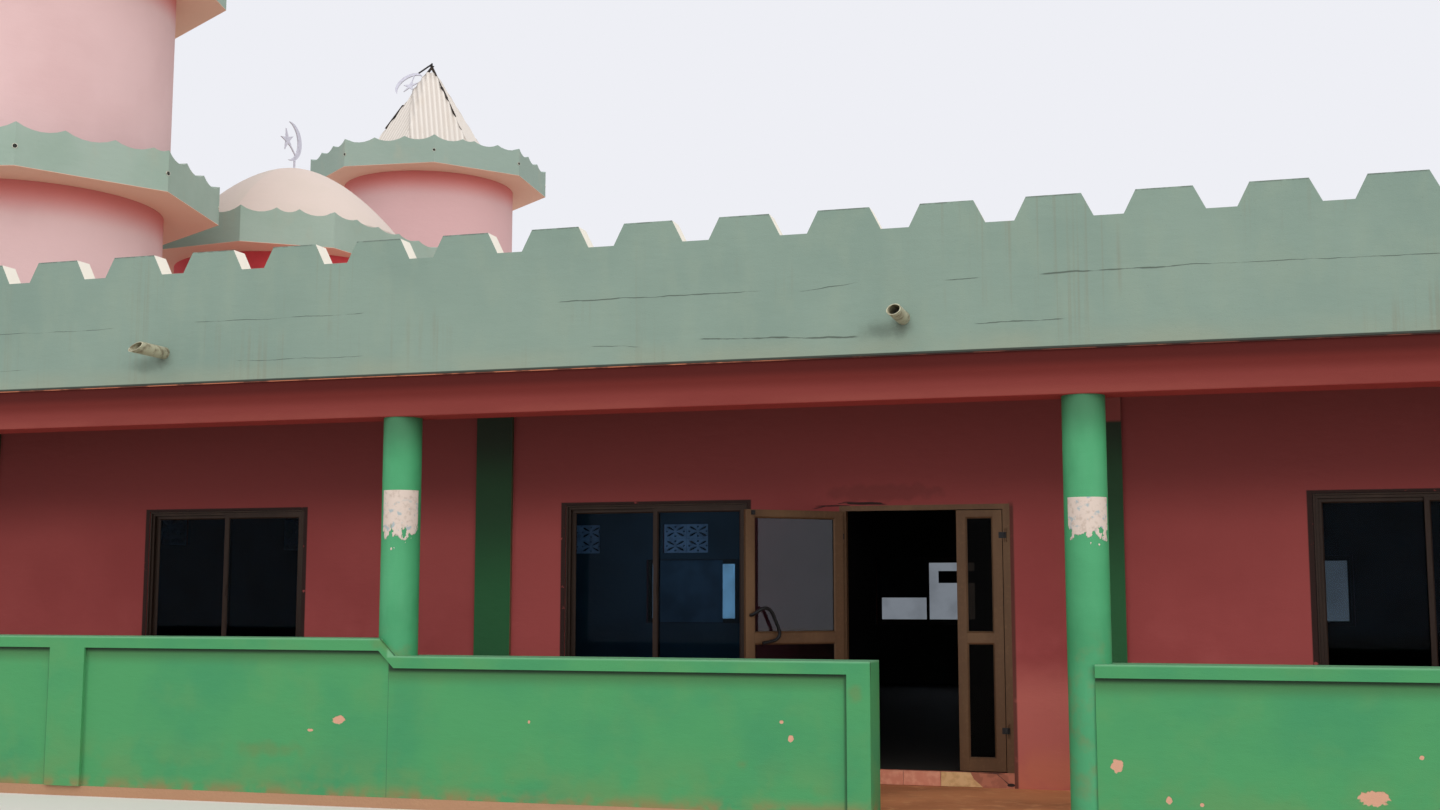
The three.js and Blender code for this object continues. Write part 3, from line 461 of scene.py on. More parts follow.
LOWER_CRACKS = [
    ((-9.2, 3.46), (-6.0, 3.47), 0.0036),
    ((-4.0, 3.47), (-2.9, 3.46), 0.0045),
    ((-1.0, 3.461), (-0.6, 3.436), 0.0063),
    ((-0.11, 3.475), (1.05, 3.438), 0.0126),
    ((1.91, 3.499), (2.5, 3.499), 0.0081),
    ((5.0, 3.48), (8.9, 3.46), 0.0045),
]


def add_undercoat(coat, floor, colour):
    """Pale undercoat above a level, on the tops of merlons and the slopes that face along the front."""
    normal = coat.add("ShaderNodeTexCoord").outputs["Normal"]
    facing = coat.add("ShaderNodeSeparateXYZ", Vector=normal).outputs
    across, deep = (coat.maths("ABSOLUTE", facing[axis]) for axis in (0, 1))
    upper = coat.along("Z", floor - 0.01, floor)
    off_front = coat.ramp(deep, 0.5, 0.3)
    off_side = coat.ramp(coat.maths("MAXIMUM", across, deep), 0.999, 0.97)
    coat.lay(colour, coat.both(upper, off_front, off_side))


sage = Coat("sage_paint", (122, 141, 128), 0.85)
sage.lay((114, 134, 122), sage.clouds(1.4, 0.35, 0.7))
sage.lay((128, 144, 128), sage.clouds(0.16, 0.45, 0.7, stretch=(1, 1, 0.4)), 0.35)
sage.lay((136, 142, 122), sage.both(sage.along("Z", 3.5, 3.32), sage.clouds(0.7, 0.3, 0.6)), 0.5)
streaks = sage.both(sage.clouds(0.03, 0.54, 0.72, stretch=(1, 1, 0.015)), sage.clouds(0.8, 0.46, 0.62))
sage.lay((118, 114, 96), streaks, 0.32)
sage.lay((96, 108, 98), sage.clouds(0.014, 0.72, 0.78, detail=2.0), 0.5)
merlon_rim = sage.both(sage.along("Z", MERLON_TOP - 0.015, MERLON_TOP - 0.002), sage.clouds(0.05, 0.35, 0.55))
sage.lay((76, 86, 78), merlon_rim, 0.7)
for x in SPOUT_X:
    # Painted shadow and stain: each spout casts shade down and to its left, where water has also stained the
    # wall.
    wide_shadow_and_stain = sage.spot((x - 0.15, PARAPET_FACE, 3.475), (0.26, 0.05, 0.09), size=0.1, blur=0.9)
    near_shadow_and_stain = sage.spot((x - 0.01, PARAPET_FACE, 3.50), (0.12, 0.05, 0.09), size=0.1, blur=0.9)
    sage.lay((84, 96, 84), wide_shadow_and_stain, 0.6)
    sage.lay((88, 98, 86), near_shadow_and_stain, 0.8)
for start, end, width in UPPER_CRACKS + LOWER_CRACKS:
    sage.lay((58, 66, 58), sage.crack(start, end, width, 0.02), 0.85)
sage.lay((34, 36, 30), sage.along("Z", SLAB_SOFFIT + 0.018, SLAB_SOFFIT + 0.012), 0.9)
sage.plaster_relief()
add_undercoat(sage, CRENEL_LEVEL, (218, 212, 198))
dress(sage.done(), *PARAPETS)
soften(*PARAPETS)

drip = Coat("drip_strip_paint", (196, 120, 88), 0.8)
drip.lay((60, 32, 26), drip.both(drip.along("X", 0.1, 0.9), drip.clouds(0.3, 0.2, 0.4)))
drip.lay((110, 60, 46), drip.clouds(0.2, 0.45, 0.6))
drip_strip = bmesh.new()
add_bar(drip_strip, (-END_FACE + WALL, PARAPET_FACE, SLAB_SOFFIT - 0.008),
        (END_FACE - WALL, PARAPET_FACE + 0.013, SLAB_SOFFIT - 0.001))
new_piece("drip_strip", drip_strip, drip.done(), edge=0.002)


# The roof spouts: plastic pipes that drain the roof through the front parapet. They have been painted with
# it, and the outer end of each is cut at a slant.
SPOUTS = [f"roof_spout_{number}" for number in (1, 2, 3)]
spout = Coat("pipe_paint", (170, 166, 140), 0.6)
spout.lay((120, 110, 86), spout.clouds(0.05, 0.45, 0.7))
spout.lay((20, 20, 18), spout.along("Y", -8.60, -8.50), 0.2)
dress(spout.done(), *SPOUTS)
round_off(SPOUTS)


# The verandah's round columns: plastered concrete painted bright green. Two of them still carry bare
# sheets of paper that were pasted round them and have torn away at the foot.
COLUMNS = [f"column_{number}" for number in (1, 2, 3, 4)]
COLUMN_RADIUS = 0.15
COLUMN_Y = -8.265
PAPER_STEPS = 84
PAPER_ROWS = 72
PAPER_PROUD = 0.0012
column = Coat("column_paint", (62, 145, 96), 0.62)
column.lay((52, 134, 86), column.clouds(0.5, 0.4, 0.7))
column.lay((84, 160, 114), column.clouds(0.25, 0.5, 0.8, stretch=(1, 1, 0.3)), 0.4)
# Painted shade: the columns darken towards their tops under the beam.
column.lay((46, 92, 60), column.along("Z", 2.6, 2.95), 0.8)
column.lay((104, 122, 76), column.both(column.along("Z", 1.4, 1.15), column.clouds(0.12, 0.45, 0.7)), 0.5)
column.plaster_relief()
dress(column.done(), *COLUMNS)
round_off(COLUMNS)

paper = Coat("pasted_paper", (198, 182, 170), 0.9)
paper.lay((112, 152, 164), paper.both(paper.clouds(0.05, 0.56, 0.64), paper.along("Z", 2.36, 2.28)), 0.6)
paper.lay((170, 152, 138), paper.clouds(0.03, 0.5, 0.7), 0.6)
paper = paper.done()


def is_torn(step, row, seed):
    """Whether a small square of the sheet is gone: more often low down and near its sides."""
    tatter = noise.fractal((seed + step * 0.11, row * 0.09, 0.0), 1.0, 2.0, 5)
    height = row / PAPER_ROWS
    from_side = min(step, PAPER_STEPS - 1 - step) / PAPER_STEPS
    return tatter * 0.42 + height * 1.5 + min(from_side * 4, 0.25) <= 0.66


def make_torn_paper(name, column_x, turns, foot, head, seed):
    """A sheet wrapped round a column between two angles, torn through above its ragged foot."""
    shape = bmesh.new()
    radius = COLUMN_RADIUS + PAPER_PROUD
    grid = []
    for step in range(PAPER_STEPS + 1):
        angle = math.radians(turns[0] + (turns[1] - turns[0]) * step / PAPER_STEPS)
        x, y = column_x + radius * math.cos(angle), COLUMN_Y + radius * math.sin(angle)
        grid.append([shape.verts.new((x, y, foot + (head - foot) * row / PAPER_ROWS))
                     for row in range(PAPER_ROWS + 1)])
    for step, (near, far) in enumerate(zip(grid, grid[1:])):
        for row in range(PAPER_ROWS):
            if not is_torn(step, row, seed):
                shape.faces.new((near[row], far[row], far[row + 1], near[row + 1]))
    loose = [vertex for vertex in shape.verts if not vertex.link_faces]
    bmesh.ops.delete(shape, geom=loose, context="VERTS")
    piece = new_piece(name, shape, paper, smooth=True)
    piece.modifiers.new("sheet", "SOLIDIFY").thickness = 0.0006


make_torn_paper("torn_paper_left", COLUMN_X[1], (-127, -4), 1.92, 2.41, 3.0)
make_torn_paper("torn_paper_right", COLUMN_X[2], (-140, -17), 1.90, 2.27, 8.0)


# The balustrades: low block walls with a projecting cap and piers, painted the same green. The paint has
# chipped down to the pink plaster here and there, and red dust lies along the foot and on the cap.
# Painted shadow darkens the panels under the cap and beside the piers.
BALUSTRADES = ("balustrade_left", "balustrade_right")
PANEL_FACE = -8.425
STEP_X = -2.61
STEP_RISE = 0.13
PIER_SIDE_SHADOWS = [(-5.667, 0.8), (-5.313, 0.3), (5.313, 0.8), (5.667, 0.3), (0.945, 0.8)]
DIRT_PATCHES = [((0.194, 0.405), (0.07, 0.064)), ((1.02, 0.915), (0.07, 0.096)),
                ((-3.6, 0.42), (0.42, 0.08)), ((-2.55, 1.24), (0.224, 0.08))]
CHIPS = [((-3.026, 0.651), (0.056, 0.035)), ((-3.265, 0.568), (0.026, 0.012)),
         ((-1.448, 0.668), (0.009, 0.014)), ((0.482, 0.710), (0.014, 0.013)),
         ((0.547, 0.596), (0.022, 0.024)), ((2.790, 0.473), (0.042, 0.046)),
         ((3.115, 0.256), (0.022, 0.024)), ((3.323, 0.236), (0.016, 0.014)),
         ((4.380, 0.314), (0.095, 0.050)), ((4.675, 0.576), (0.014, 0.014))]
rail = Coat("balustrade_paint", (64, 139, 84), 0.75)
rail.lay((54, 132, 84), rail.clouds(0.9, 0.4, 0.65))
rail.lay((82, 138, 82), rail.clouds(0.35, 0.5, 0.75, shift=3.0), 0.4)
rail.lay((94, 132, 76), rail.both(rail.along("Z", 0.62, 0.1), rail.clouds(0.3, 0.4, 0.62)), 0.5)
foot_dust = rail.both(rail.along("Z", 0.2, 0.05), rail.clouds(0.16, 0.36, 0.6, detail=9.0))
rail.lay((140, 104, 64), foot_dust, 0.8)
panels = rail.between("Y", PANEL_FACE - 0.008, PANEL_FACE + 0.004, 0.004)
low_part = rail.along("X", STEP_X - 0.01, STEP_X + 0.01)
high_part = rail.along("X", STEP_X + 0.01, STEP_X - 0.01)
for part, rise in ((low_part, 0.0), (high_part, STEP_RISE)):
    cap_edge, cap_shade, cap_shadow_line = (rail.both(rail.along("Z", foot + rise, head + rise), part)
                                     for foot, head in ((1.122, 1.138), (0.90, 1.03), (1.005, 1.04)))
    rail.lay((116, 170, 130), cap_edge, 0.6)
    # Painted shadow under the cap: a soft shade down the panels and a dark line just below the cap.
    rail.lay((58, 104, 58), rail.both(panels, cap_shade), 0.8)
    rail.lay((18, 44, 24), rail.both(panels, cap_shadow_line), 0.9)
# Painted shadow down the panels beside the piers, stronger on the left of each pier.
for x, strength in PIER_SIDE_SHADOWS:
    rail.lay((34, 84, 48), rail.both(panels, rail.between("X", x - 0.012, x + 0.012, 0.012)), strength)
step_joint = rail.both(rail.between("X", STEP_X - 0.002, STEP_X + 0.004, 0.002), rail.along("Z", 1.03, 1.0))
rail.lay((40, 92, 58), step_joint, 0.6)
for (x, z), (wide, high) in DIRT_PATCHES:
    rail.lay((96, 116, 66), rail.spot((x, PANEL_FACE, z), (wide, 0.2, high), 0.8, 0.1, 0.9), 0.45)
for (x, z), (wide, high) in CHIPS:
    chip = rail.spot((x, PANEL_FACE, z), (wide, 0.2, high), 0.6, 0.03)
    rail.lay((196, 146, 120), chip)
    rail.relief(rail.maths("SUBTRACT", 1.0, chip), 0.002)
rail.plaster_relief()
dress(rail.done(), *BALUSTRADES)
soften(*BALUSTRADES)


# The windows: bronze aluminium sliding sashes in an outer frame with two tracks, glazed with dark glass.
# The right sash runs in front of the left one, and a latch sits on its meeting stile. Painted boards
# stand inside two of the back windows.
WINDOW_WIDTH = 1.64
FRONT_LEVELS = (0.9, 2.38)
BACK_LEVELS = (1.13, 2.18)
FRAME_MARGIN = 0.004
FRAME_SECTION = [(0.0, 0.004), (0.012, 0.004), (0.014, 0.006), (0.014, 0.022), (0.036, 0.022), (0.036, 0.024),
                 (0.038, 0.040), (0.034, 0.042), (0.034, 0.088), (0.0, 0.088)]
SASH_SECTION = [(0.0, 0.0), (0.036, 0.0), (0.038, 0.002), (0.046, 0.009), (0.046, 0.019), (0.038, 0.026),
                (0.036, 0.028), (0.0, 0.028)]
SEAL_SECTION = [(0, 0.012), (0.008, 0.016), (0.008, 0.084), (0, 0.084)]
BEAD_OVERLAP = 0.044
PANE_DEPTHS = (0.012, 0.017)
TRACKS = (0.026, 0.056)
SASH_SEAT = 0.030
MEETING = 0.024
LATCH_HALF_WIDTH = 0.012
LATCH_HEIGHT = 0.10
LATCH_PROUD = 0.010
BOARD_DEPTHS = (0.092, 0.100)


def bronze_finish(name, colour, dusty):
    finish = Coat(name, colour, 0.5, 0.5)
    finish.lay(dusty, finish.clouds(0.25, 0.45, 0.7, stretch=(1, 1, 0.2)), 0.5)
    finish.lay(dusty, finish.clouds(0.03, 0.5, 0.75), 0.3)
    return finish.done()


def tinted_glass(name, tint, index):
    """Glass of one tint with darker patches; the index is how strongly it bends and mirrors light."""
    glass = Coat(name, tint, 0.0)
    glass.shader.inputs["Transmission Weight"].default_value = 1.0
    glass.shader.inputs["IOR"].default_value = index
    glass.lay((0, 0, 0), glass.clouds(0.4, 0.4, 0.7), 0.2)
    return glass.done()


# Painted shade: the windows' bronze is the door's bronze laid much darker, for the shade they stand in.
window_bronze_in_shade = bronze_finish("window_bronze_in_shade", (52, 38, 30), (72, 55, 44))
rubber = mottled("black_rubber", (20, 20, 20), (44, 40, 38), 0.03, 0.5, 0.7, 0.7, strength=0.5)
front_glass = tinted_glass("blue_glass", (104, 158, 196), 1.12)
back_glass = [tinted_glass("clear_glass", (206, 206, 206), 1.3),
              tinted_glass("grey_glass", (127, 133, 138), 1.3),
              tinted_glass("smoky_glass", (150, 116, 104), 1.3)]


def add_ring(shape, opening, section, place):
    """Sweeps a closed section round a rectangle with mitred corners: points are (inset, depth)."""
    left, foot, right, head = opening
    corners = [(left, foot, 1, 1), (right, foot, -1, 1), (right, head, -1, -1), (left, head, 1, -1)]
    rings = [[shape.verts.new(place @ Vector((x + across * inset, depth, z + up * inset)))
              for inset, depth in section] for x, z, across, up in corners]
    for near, far in zip(rings, rings[1:] + rings[:1]):
        join_rings(shape, near, far)


def make_window(side, number, centre, levels, place, glass):
    """One sliding window; place puts the wall's outer face at depth 0."""
    metal, seal = bmesh.new(), bmesh.new()
    sill, head = levels
    left, right = centre - WINDOW_WIDTH / 2, centre + WINDOW_WIDTH / 2
    outer = (left + FRAME_MARGIN, sill + FRAME_MARGIN, right - FRAME_MARGIN, head - FRAME_MARGIN)
    add_ring(metal, outer, FRAME_SECTION, place)
    add_ring(seal, (left, sill, right, head), SEAL_SECTION, place)
    sashes = [("right", centre - MEETING, right - SASH_SEAT, TRACKS[0]),
              ("left", left + SASH_SEAT, centre + MEETING, TRACKS[1])]
    for hand, near, far, track in sashes:
        foot, top = sill + SASH_SEAT, head - SASH_SEAT
        section = [(inset, depth + track) for inset, depth in SASH_SECTION]
        add_ring(metal, (near, foot, far, top), section, place)
        face, back = (track + depth for depth in PANE_DEPTHS)
        pane = bmesh.new()
        add_bar(pane, (near + BEAD_OVERLAP, face, foot + BEAD_OVERLAP),
                (far - BEAD_OVERLAP, back, top - BEAD_OVERLAP), place)
        piece = new_piece(f"{side}_window_{number}_pane_{hand}", pane, glass, edge=0.001)
        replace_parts(piece, f"{side}_window_glass_{number}")
    latch = (sill + head) / 2 - LATCH_HEIGHT / 2
    add_bar(metal, (centre - LATCH_HALF_WIDTH, TRACKS[0] - LATCH_PROUD, latch),
            (centre + LATCH_HALF_WIDTH, TRACKS[0] + 0.001, latch + LATCH_HEIGHT), place)
    piece = new_piece(f"{side}_window_{number}_sashes", metal, window_bronze_in_shade, edge=0.001)
    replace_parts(piece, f"{side}_window_{number}")
    new_piece(f"{side}_window_{number}_seal", seal, rubber)


front_place = Matrix.Translation((0, FRONT_FACE, 0))
back_place = Matrix.Translation((0, BACK_FACE, 0)) @ Matrix.Scale(-1, 4, (0, 1, 0))
for number, centre in enumerate(FRONT_WINDOWS, 1):
    make_window("front", number, centre, FRONT_LEVELS, front_place, front_glass)
for number, (centre, glass) in enumerate(zip((-4.8, -0.9, 4.66), back_glass), 1):
    make_window("back", number, centre, BACK_LEVELS, back_place, glass)

blue_board = mottled("blue_board_paint", (96, 110, 126), (78, 92, 108), 0.3, 0.4, 0.65, 0.7)
dark_board = mottled("dark_board_paint", (46, 46, 50), (34, 33, 36), 0.3, 0.4, 0.65, 0.7)
for name, low, high, finish in [("back_window_1_board", (-5.52, 1.14), (-4.31, 2.17), blue_board),
                                ("back_window_1_slat", (-4.10, 1.14), (-3.98, 2.17), dark_board),
                                ("back_window_2_board", (-1.71, 1.55), (-0.905, 2.172), dark_board),
                                ("back_window_2_slat", (-0.72, 1.782), (-0.09, 1.973), dark_board)]:
    board = bmesh.new()
    add_bar(board, (low[0], BOARD_DEPTHS[0], low[1]), (high[0], BOARD_DEPTHS[1], high[1]), back_place)
    new_piece(name, board, finish, edge=0.001)


# The vents high in the walls: cast star blocks, two by two, painted lilac white, with dark fly mesh
# set in the middle of their thickness.
VENT_WIDTH = 0.79
VENT_SILL = 2.29
VENT_HEIGHT = 0.48
BACK_VENTS = (-6.84, -4.93, 2.62, 4.53)
END_VENTS = (-3.25, 0.0, 3.25)
BLOCK_DEPTH = 0.09
BLOCK_SETBACK = 0.035
BLOCK_EDGE = 0.004
BLOCK_JOINT = 0.001
MESH_MARGIN = 0.004
PETAL_FROM = (0.022, 0.016)
PETAL_TO = (0.146, 0.078)
PETAL_BREADTH = 0.036
PETAL_SHAPE = [(0.0, 0.25), (0.3, 0.7), (0.65, 1.0), (0.88, 0.8), (1.0, 0.3)]
ROUND_STEPS = 16
block_paint = Coat("block_paint", (210, 202, 220), 0.85)
block_paint.lay((182, 170, 186), block_paint.clouds(0.12, 0.45, 0.7))
block_paint.relief(block_paint.clouds(0.01, 0.3, 0.7), 0.0008)
block_paint = block_paint.done()
fly_mesh = Coat("fly_mesh", (20, 24, 30), 0.8)
fly_mesh.lay((40, 42, 46), fly_mesh.clouds(0.004, 0.5, 0.6, detail=0.0))
fly_mesh = fly_mesh.done()


def petal(across, up):
    """The outline of one slanted slot of the star, narrow at its start and round at its far end."""
    start, end = (Vector((across * x, up * y)) for x, y in (PETAL_FROM, PETAL_TO))
    side = (end - start).orthogonal().normalized() * PETAL_BREADTH / 2
    edge = [start.lerp(end, share) + side * width for share, width in PETAL_SHAPE]
    return edge + [start.lerp(end, share) - side * width for share, width in reversed(PETAL_SHAPE)]


def round_hole(place, radius):
    turns = [2 * math.pi * step / ROUND_STEPS for step in range(ROUND_STEPS)]
    return [(place[0] + radius * math.cos(turn), place[1] + radius * math.sin(turn)) for turn in turns]


def star_block(width, height):
    """The mesh of one block, cast with its slots and holes through it and its edges eased."""
    curve = bpy.data.curves.new("star_block", "CURVE")
    curve.dimensions = "2D"
    curve.fill_mode = "BOTH"
    curve.extrude = BLOCK_DEPTH / 2 - BLOCK_EDGE
    curve.bevel_depth = BLOCK_EDGE
    curve.offset = -BLOCK_EDGE
    curve.bevel_resolution = 1
    half_width, half_height = width / 2, height / 2
    outlines = [[(-half_width, -half_height), (half_width, -half_height), (half_width, half_height),
                 (-half_width, half_height)]]
    for hand in (-1, 1):
        outlines += [petal(hand, -1), petal(hand, 1), round_hole((0.150 * hand, 0), 0.015),
                     round_hole((0, 0.078 * hand), 0.017)]
    for outline in outlines:
        spline = curve.splines.new("POLY")
        spline.points.add(len(outline) - 1)
        for point, (x, y) in zip(spline.points, outline):
            point.co = (x, y, 0, 1)
        spline.use_cyclic_u = True
    carrier = bpy.data.objects.new("star_block", curve)
    bpy.context.scene.collection.objects.link(carrier)
    mesh = bpy.data.meshes.new_from_object(carrier.evaluated_get(bpy.context.evaluated_depsgraph_get()))
    bpy.data.objects.remove(carrier)
    mesh.transform(Matrix.Rotation(math.radians(90), 4, "X"))
    return mesh


block_mesh = star_block(VENT_WIDTH / 2 - BLOCK_JOINT, VENT_HEIGHT / 2 - BLOCK_JOINT)


def make_vent(name, place):
    """Four star blocks in an opening; place puts the opening's outer face at depth 0."""
    blocks, mesh_sheet = bmesh.new(), bmesh.new()
    depth = BLOCK_SETBACK + BLOCK_DEPTH / 2
    for across in (-1, 1):
        for up in (1, 3):
            copy = block_mesh.copy()
            seat = Matrix.Translation((across * VENT_WIDTH / 4, depth, VENT_SILL + up * VENT_HEIGHT / 4))
            copy.transform(place @ seat)
            blocks.from_mesh(copy)
            bpy.data.meshes.remove(copy)
    new_piece(f"{name}_blocks", blocks, block_paint)
    half_width = VENT_WIDTH / 2 - MESH_MARGIN
    add_bar(mesh_sheet, (-half_width, depth - 0.001, VENT_SILL + MESH_MARGIN),
            (half_width, depth + 0.001, VENT_SILL + VENT_HEIGHT - MESH_MARGIN), place)
    new_piece(f"{name}_fly_mesh", mesh_sheet, fly_mesh)


for number, centre in enumerate(BACK_VENTS, 1):
    make_vent(f"back_vent_{number}", Matrix.Translation((centre, 0, 0)) @ back_place)
for side, x, turn in (("left", -END_FACE, -90), ("right", END_FACE, 90)):
    for number, y in enumerate(END_VENTS, 1):
        end = Matrix.Translation((x, y, 0)) @ Matrix.Rotation(math.radians(turn), 4, "Z")
        make_vent(f"{side}_vent_{number}", end)


# The door: a bronze aluminium frame, a wide leaf that stands open and a narrow leaf that stays shut.
# Each leaf has two stiles and three rails, two panes held by beads, and two hinges on the frame's face.
DOOR_JAMB = 0.057
PIVOT_INSET = 0.022
PIVOT_PROUD = 0.010
WIDE_LEAF_REST = math.radians(-138)
LEAF_WIDTHS = (0.8965, 0.3695)
LEAF_START = 0.0275
LEAF_BACK = 0.045
LEAF_FOOT = 0.208
LEAF_TOP = 2.287
STILE = 0.075
RAILS = [(LEAF_FOOT, 0.305), (1.22, 1.30), (2.232, LEAF_TOP)]
RAIL_SETBACK = 0.0008
LEAF_PANE_DEPTHS = (0.025, 0.030)
LEAF_PANE_MARGIN = 0.002
BEAD_SECTION = [(0, 0.002), (0.003, 0), (0.012, 0.006), (0.012, 0.012), (0, 0.012)]
GASKET_SECTION = [(0.010, 0.0125), (0.0145, 0.011), (0.0145, 0.0145), (0.010, 0.0145)]
HINGE_LEVELS = (0.528, 2.082)
HINGE_HEIGHT = 0.049
HINGE_RADIUS = 0.008
HINGE_LAP = 0.028
black = mottled("black_enamel", (28, 28, 30), (60, 56, 52), 0.02, 0.5, 0.7, 0.4, 0.5, 0.5)
door_bronze = bronze_finish("door_bronze", (96, 70, 48), (124, 94, 66))
mirror_glass = tinted_glass("mirror_glass", (96, 112, 132), 1.5)
brown_glass = tinted_glass("brown_glass", (66, 54, 44), 1.1)
dress(door_bronze, "door_frame")
dress(black, "door_handle")
round_off(["door_handle"], 50)


def make_leaf(hand, width, place, glass):
    """A leaf in its own frame: hinge axis at 0, shut along X; place hangs it on the door frame."""
    leaf, beads, gaskets, hinges = bmesh.new(), bmesh.new(), bmesh.new(), bmesh.new()
    name, body = f"{hand}_leaf", f"{hand}_door_leaf"
    left, right = LEAF_START, LEAF_START + width
    for near, far in ((left, left + STILE), (right - STILE, right)):
        add_bar(leaf, (near, PIVOT_PROUD, LEAF_FOOT), (far, LEAF_BACK, LEAF_TOP), place)
    for foot, head in RAILS:
        add_bar(leaf, (left + STILE, PIVOT_PROUD + RAIL_SETBACK, foot),
                (right - STILE, LEAF_BACK - RAIL_SETBACK, head), place)
    for number, (below, above) in enumerate(zip(RAILS, RAILS[1:]), 1):
        opening = (left + STILE, below[1], right - STILE, above[0])
        for face, inward in ((PIVOT_PROUD, 1), (LEAF_BACK, -1)):
            for shape, section in ((beads, BEAD_SECTION), (gaskets, GASKET_SECTION)):
                add_ring(shape, opening, [(inset, face + inward * depth) for inset, depth in section], place)
        pane = bmesh.new()
        add_bar(pane, (opening[0] + LEAF_PANE_MARGIN, LEAF_PANE_DEPTHS[0], opening[1] + LEAF_PANE_MARGIN),
                (opening[2] - LEAF_PANE_MARGIN, LEAF_PANE_DEPTHS[1], opening[3] - LEAF_PANE_MARGIN), place)
        piece = new_piece(f"{name}_pane_{number}", pane, glass, body, edge=0.001)
        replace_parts(piece, f"{name}_glass")
    for level in HINGE_LEVELS:
        bmesh.ops.create_cone(hinges, cap_ends=True, segments=24, radius1=HINGE_RADIUS, radius2=HINGE_RADIUS,
                              depth=HINGE_HEIGHT, matrix=place @ Matrix.Translation((0, 0, level)))
        add_bar(hinges, (0, PIVOT_PROUD - 0.003, level - HINGE_HEIGHT / 2),
                (left + HINGE_LAP, PIVOT_PROUD - 0.0002, level + HINGE_HEIGHT / 2), place)
    piece = new_piece(f"{name}_frame", leaf, door_bronze, body, edge=0.0012)
    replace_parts(piece, name)
    new_piece(f"{name}_beads", beads, door_bronze, body)
    new_piece(f"{name}_gaskets", gaskets, rubber, body)
    new_piece(f"{name}_hinges", hinges, black, body, edge=0.0008)


hinge_line = FRONT_FACE - PIVOT_PROUD
wide_place = (Matrix.Translation((DOOR_LEFT + DOOR_JAMB - PIVOT_INSET, hinge_line, 0))
              @ Matrix.Rotation(WIDE_LEAF_REST, 4, "Z"))
narrow_place = (Matrix.Translation((DOOR_RIGHT - DOOR_JAMB + PIVOT_INSET, hinge_line, 0))
                @ Matrix.Scale(-1, 4, (1, 0, 0)))
make_leaf("wide", LEAF_WIDTHS[0], wide_place, mirror_glass)
make_leaf("narrow", LEAF_WIDTHS[1], narrow_place, brown_glass)
keep = bmesh.new()
add_bar(keep, (0.842, LEAF_BACK - 0.001, 2.244), (0.876, LEAF_BACK + 0.011, 2.280), wide_place)
new_piece("wide_leaf_bolt_keep", keep, black, "wide_door_leaf", edge=0.002)


# The towers: two round plastered drums each, under scalloped octagonal cornices that drain through short
# pipes at their corners. The drums are painted pink and stand in a deep rose shade under each soffit.
TOWER_X = -9.07
TOWER_Y = 4.93
SOFFITS = (5.834, 8.4)
BACK_TOWER_FROM = (2.0, 4.0)
STOREYS = [f"{tower}_tower_{level}" for tower in ("front", "back") for level in ("lower", "upper")]
DRUMS = [f"{storey}_drum" for storey in STOREYS]
CORNICES = [f"{storey}_cornice" for storey in STOREYS]
DRAIN_LEVEL = 0.20
DRAIN_RADIUS = 0.027
DRAIN_LENGTH = 0.03
BORE_RADIUS = 0.78 * DRAIN_RADIUS
BORE_SETBACK = 0.0002
drum = Coat("drum_paint", (204, 171, 169), 0.8)
drum.lay((198, 164, 162), drum.clouds(0.9, 0.4, 0.7))
drum.lay((196, 157, 156), drum.along("Y", *BACK_TOWER_FROM), 0.9)
# The drums are darker and redder in patches towards their foot.
drum_foot_patches = drum.both(drum.clouds(0.25, 0.5, 0.75, stretch=(1, 1, 0.4)), drum.along("Z", 5.0, 4.2))
drum.lay((200, 160, 152), drum_foot_patches, 0.5)
cornice = Coat("cornice_paint", (146, 162, 149), 0.85)
cornice.lay((138, 156, 142), cornice.clouds(0.8, 0.4, 0.7))
cornice.lay((133, 150, 139), cornice.along("Y", *BACK_TOWER_FROM), 0.9)
cornice.lay((154, 156, 138), cornice.clouds(0.3, 0.55, 0.75, stretch=(1, 1, 0.5)), 0.4)
for soffit in SOFFITS:
    shade = drum.both(drum.along("Z", soffit - 0.42, soffit - 0.03), drum.along("Z", soffit + 0.01, soffit))
    drum.lay((196, 108, 102), shade)
    # Peach paint on the soffits, laid bright as painted light thrown up from the roofs below.
    cornice.lay((232, 188, 164), cornice.between("Z", soffit - 0.03, soffit + 0.003, 0.001))
drum.plaster_relief()
cornice.plaster_relief()
dress(drum.done(), *DRUMS)
dress(cornice.done(), *CORNICES, "dome_cornice")
round_off(DRUMS)
# Painted shade: near black for the shade deep inside each drain pipe's bore.
painted_bore_shade = mottled("painted_bore_shade", (16, 16, 14), (30, 28, 24), 0.01, 0.4, 0.6, 0.9)
drain_plastic = mottled("drain_plastic", (190, 190, 176), (150, 142, 120), 0.02, 0.45, 0.65, 0.6)


def drain_ring(corner, radius, depth):
    """Places round a drain pipe this far out from its corner, kept inside the building's own box."""
    outward = corner @ Matrix.Rotation(math.pi / 2, 4, "Y")
    ring = [outward @ Vector((x, y, depth)) for x, y in round_hole((0, 0), radius)]
    return [[min(max(value, low), high) for value, low, high in zip(place, *cad_box)] for place in ring]


def make_drains(name, corners):
    """A pipe end at each corner of the cornices, flush with the corner that it drains; a dark disc just
    inside the end is painted shade for its bore.
    """
    pipes, bores = bmesh.new(), bmesh.new()
    for corner in corners:
        rings = [[pipes.verts.new(place) for place in drain_ring(corner, radius, depth)]
                 for radius, depth in ((DRAIN_RADIUS, -DRAIN_LENGTH), (DRAIN_RADIUS, 0), (BORE_RADIUS, 0))]
        for near, far in zip(rings, rings[1:]):
            join_rings(pipes, near, far)
        bores.faces.new([bores.verts.new(place) for place in drain_ring(corner, BORE_RADIUS, -BORE_SETBACK)])
    new_piece(f"{name}_drain_pipes", pipes, drain_plastic)
    new_piece(f"{name}_drain_bore_shades", bores, painted_bore_shade)


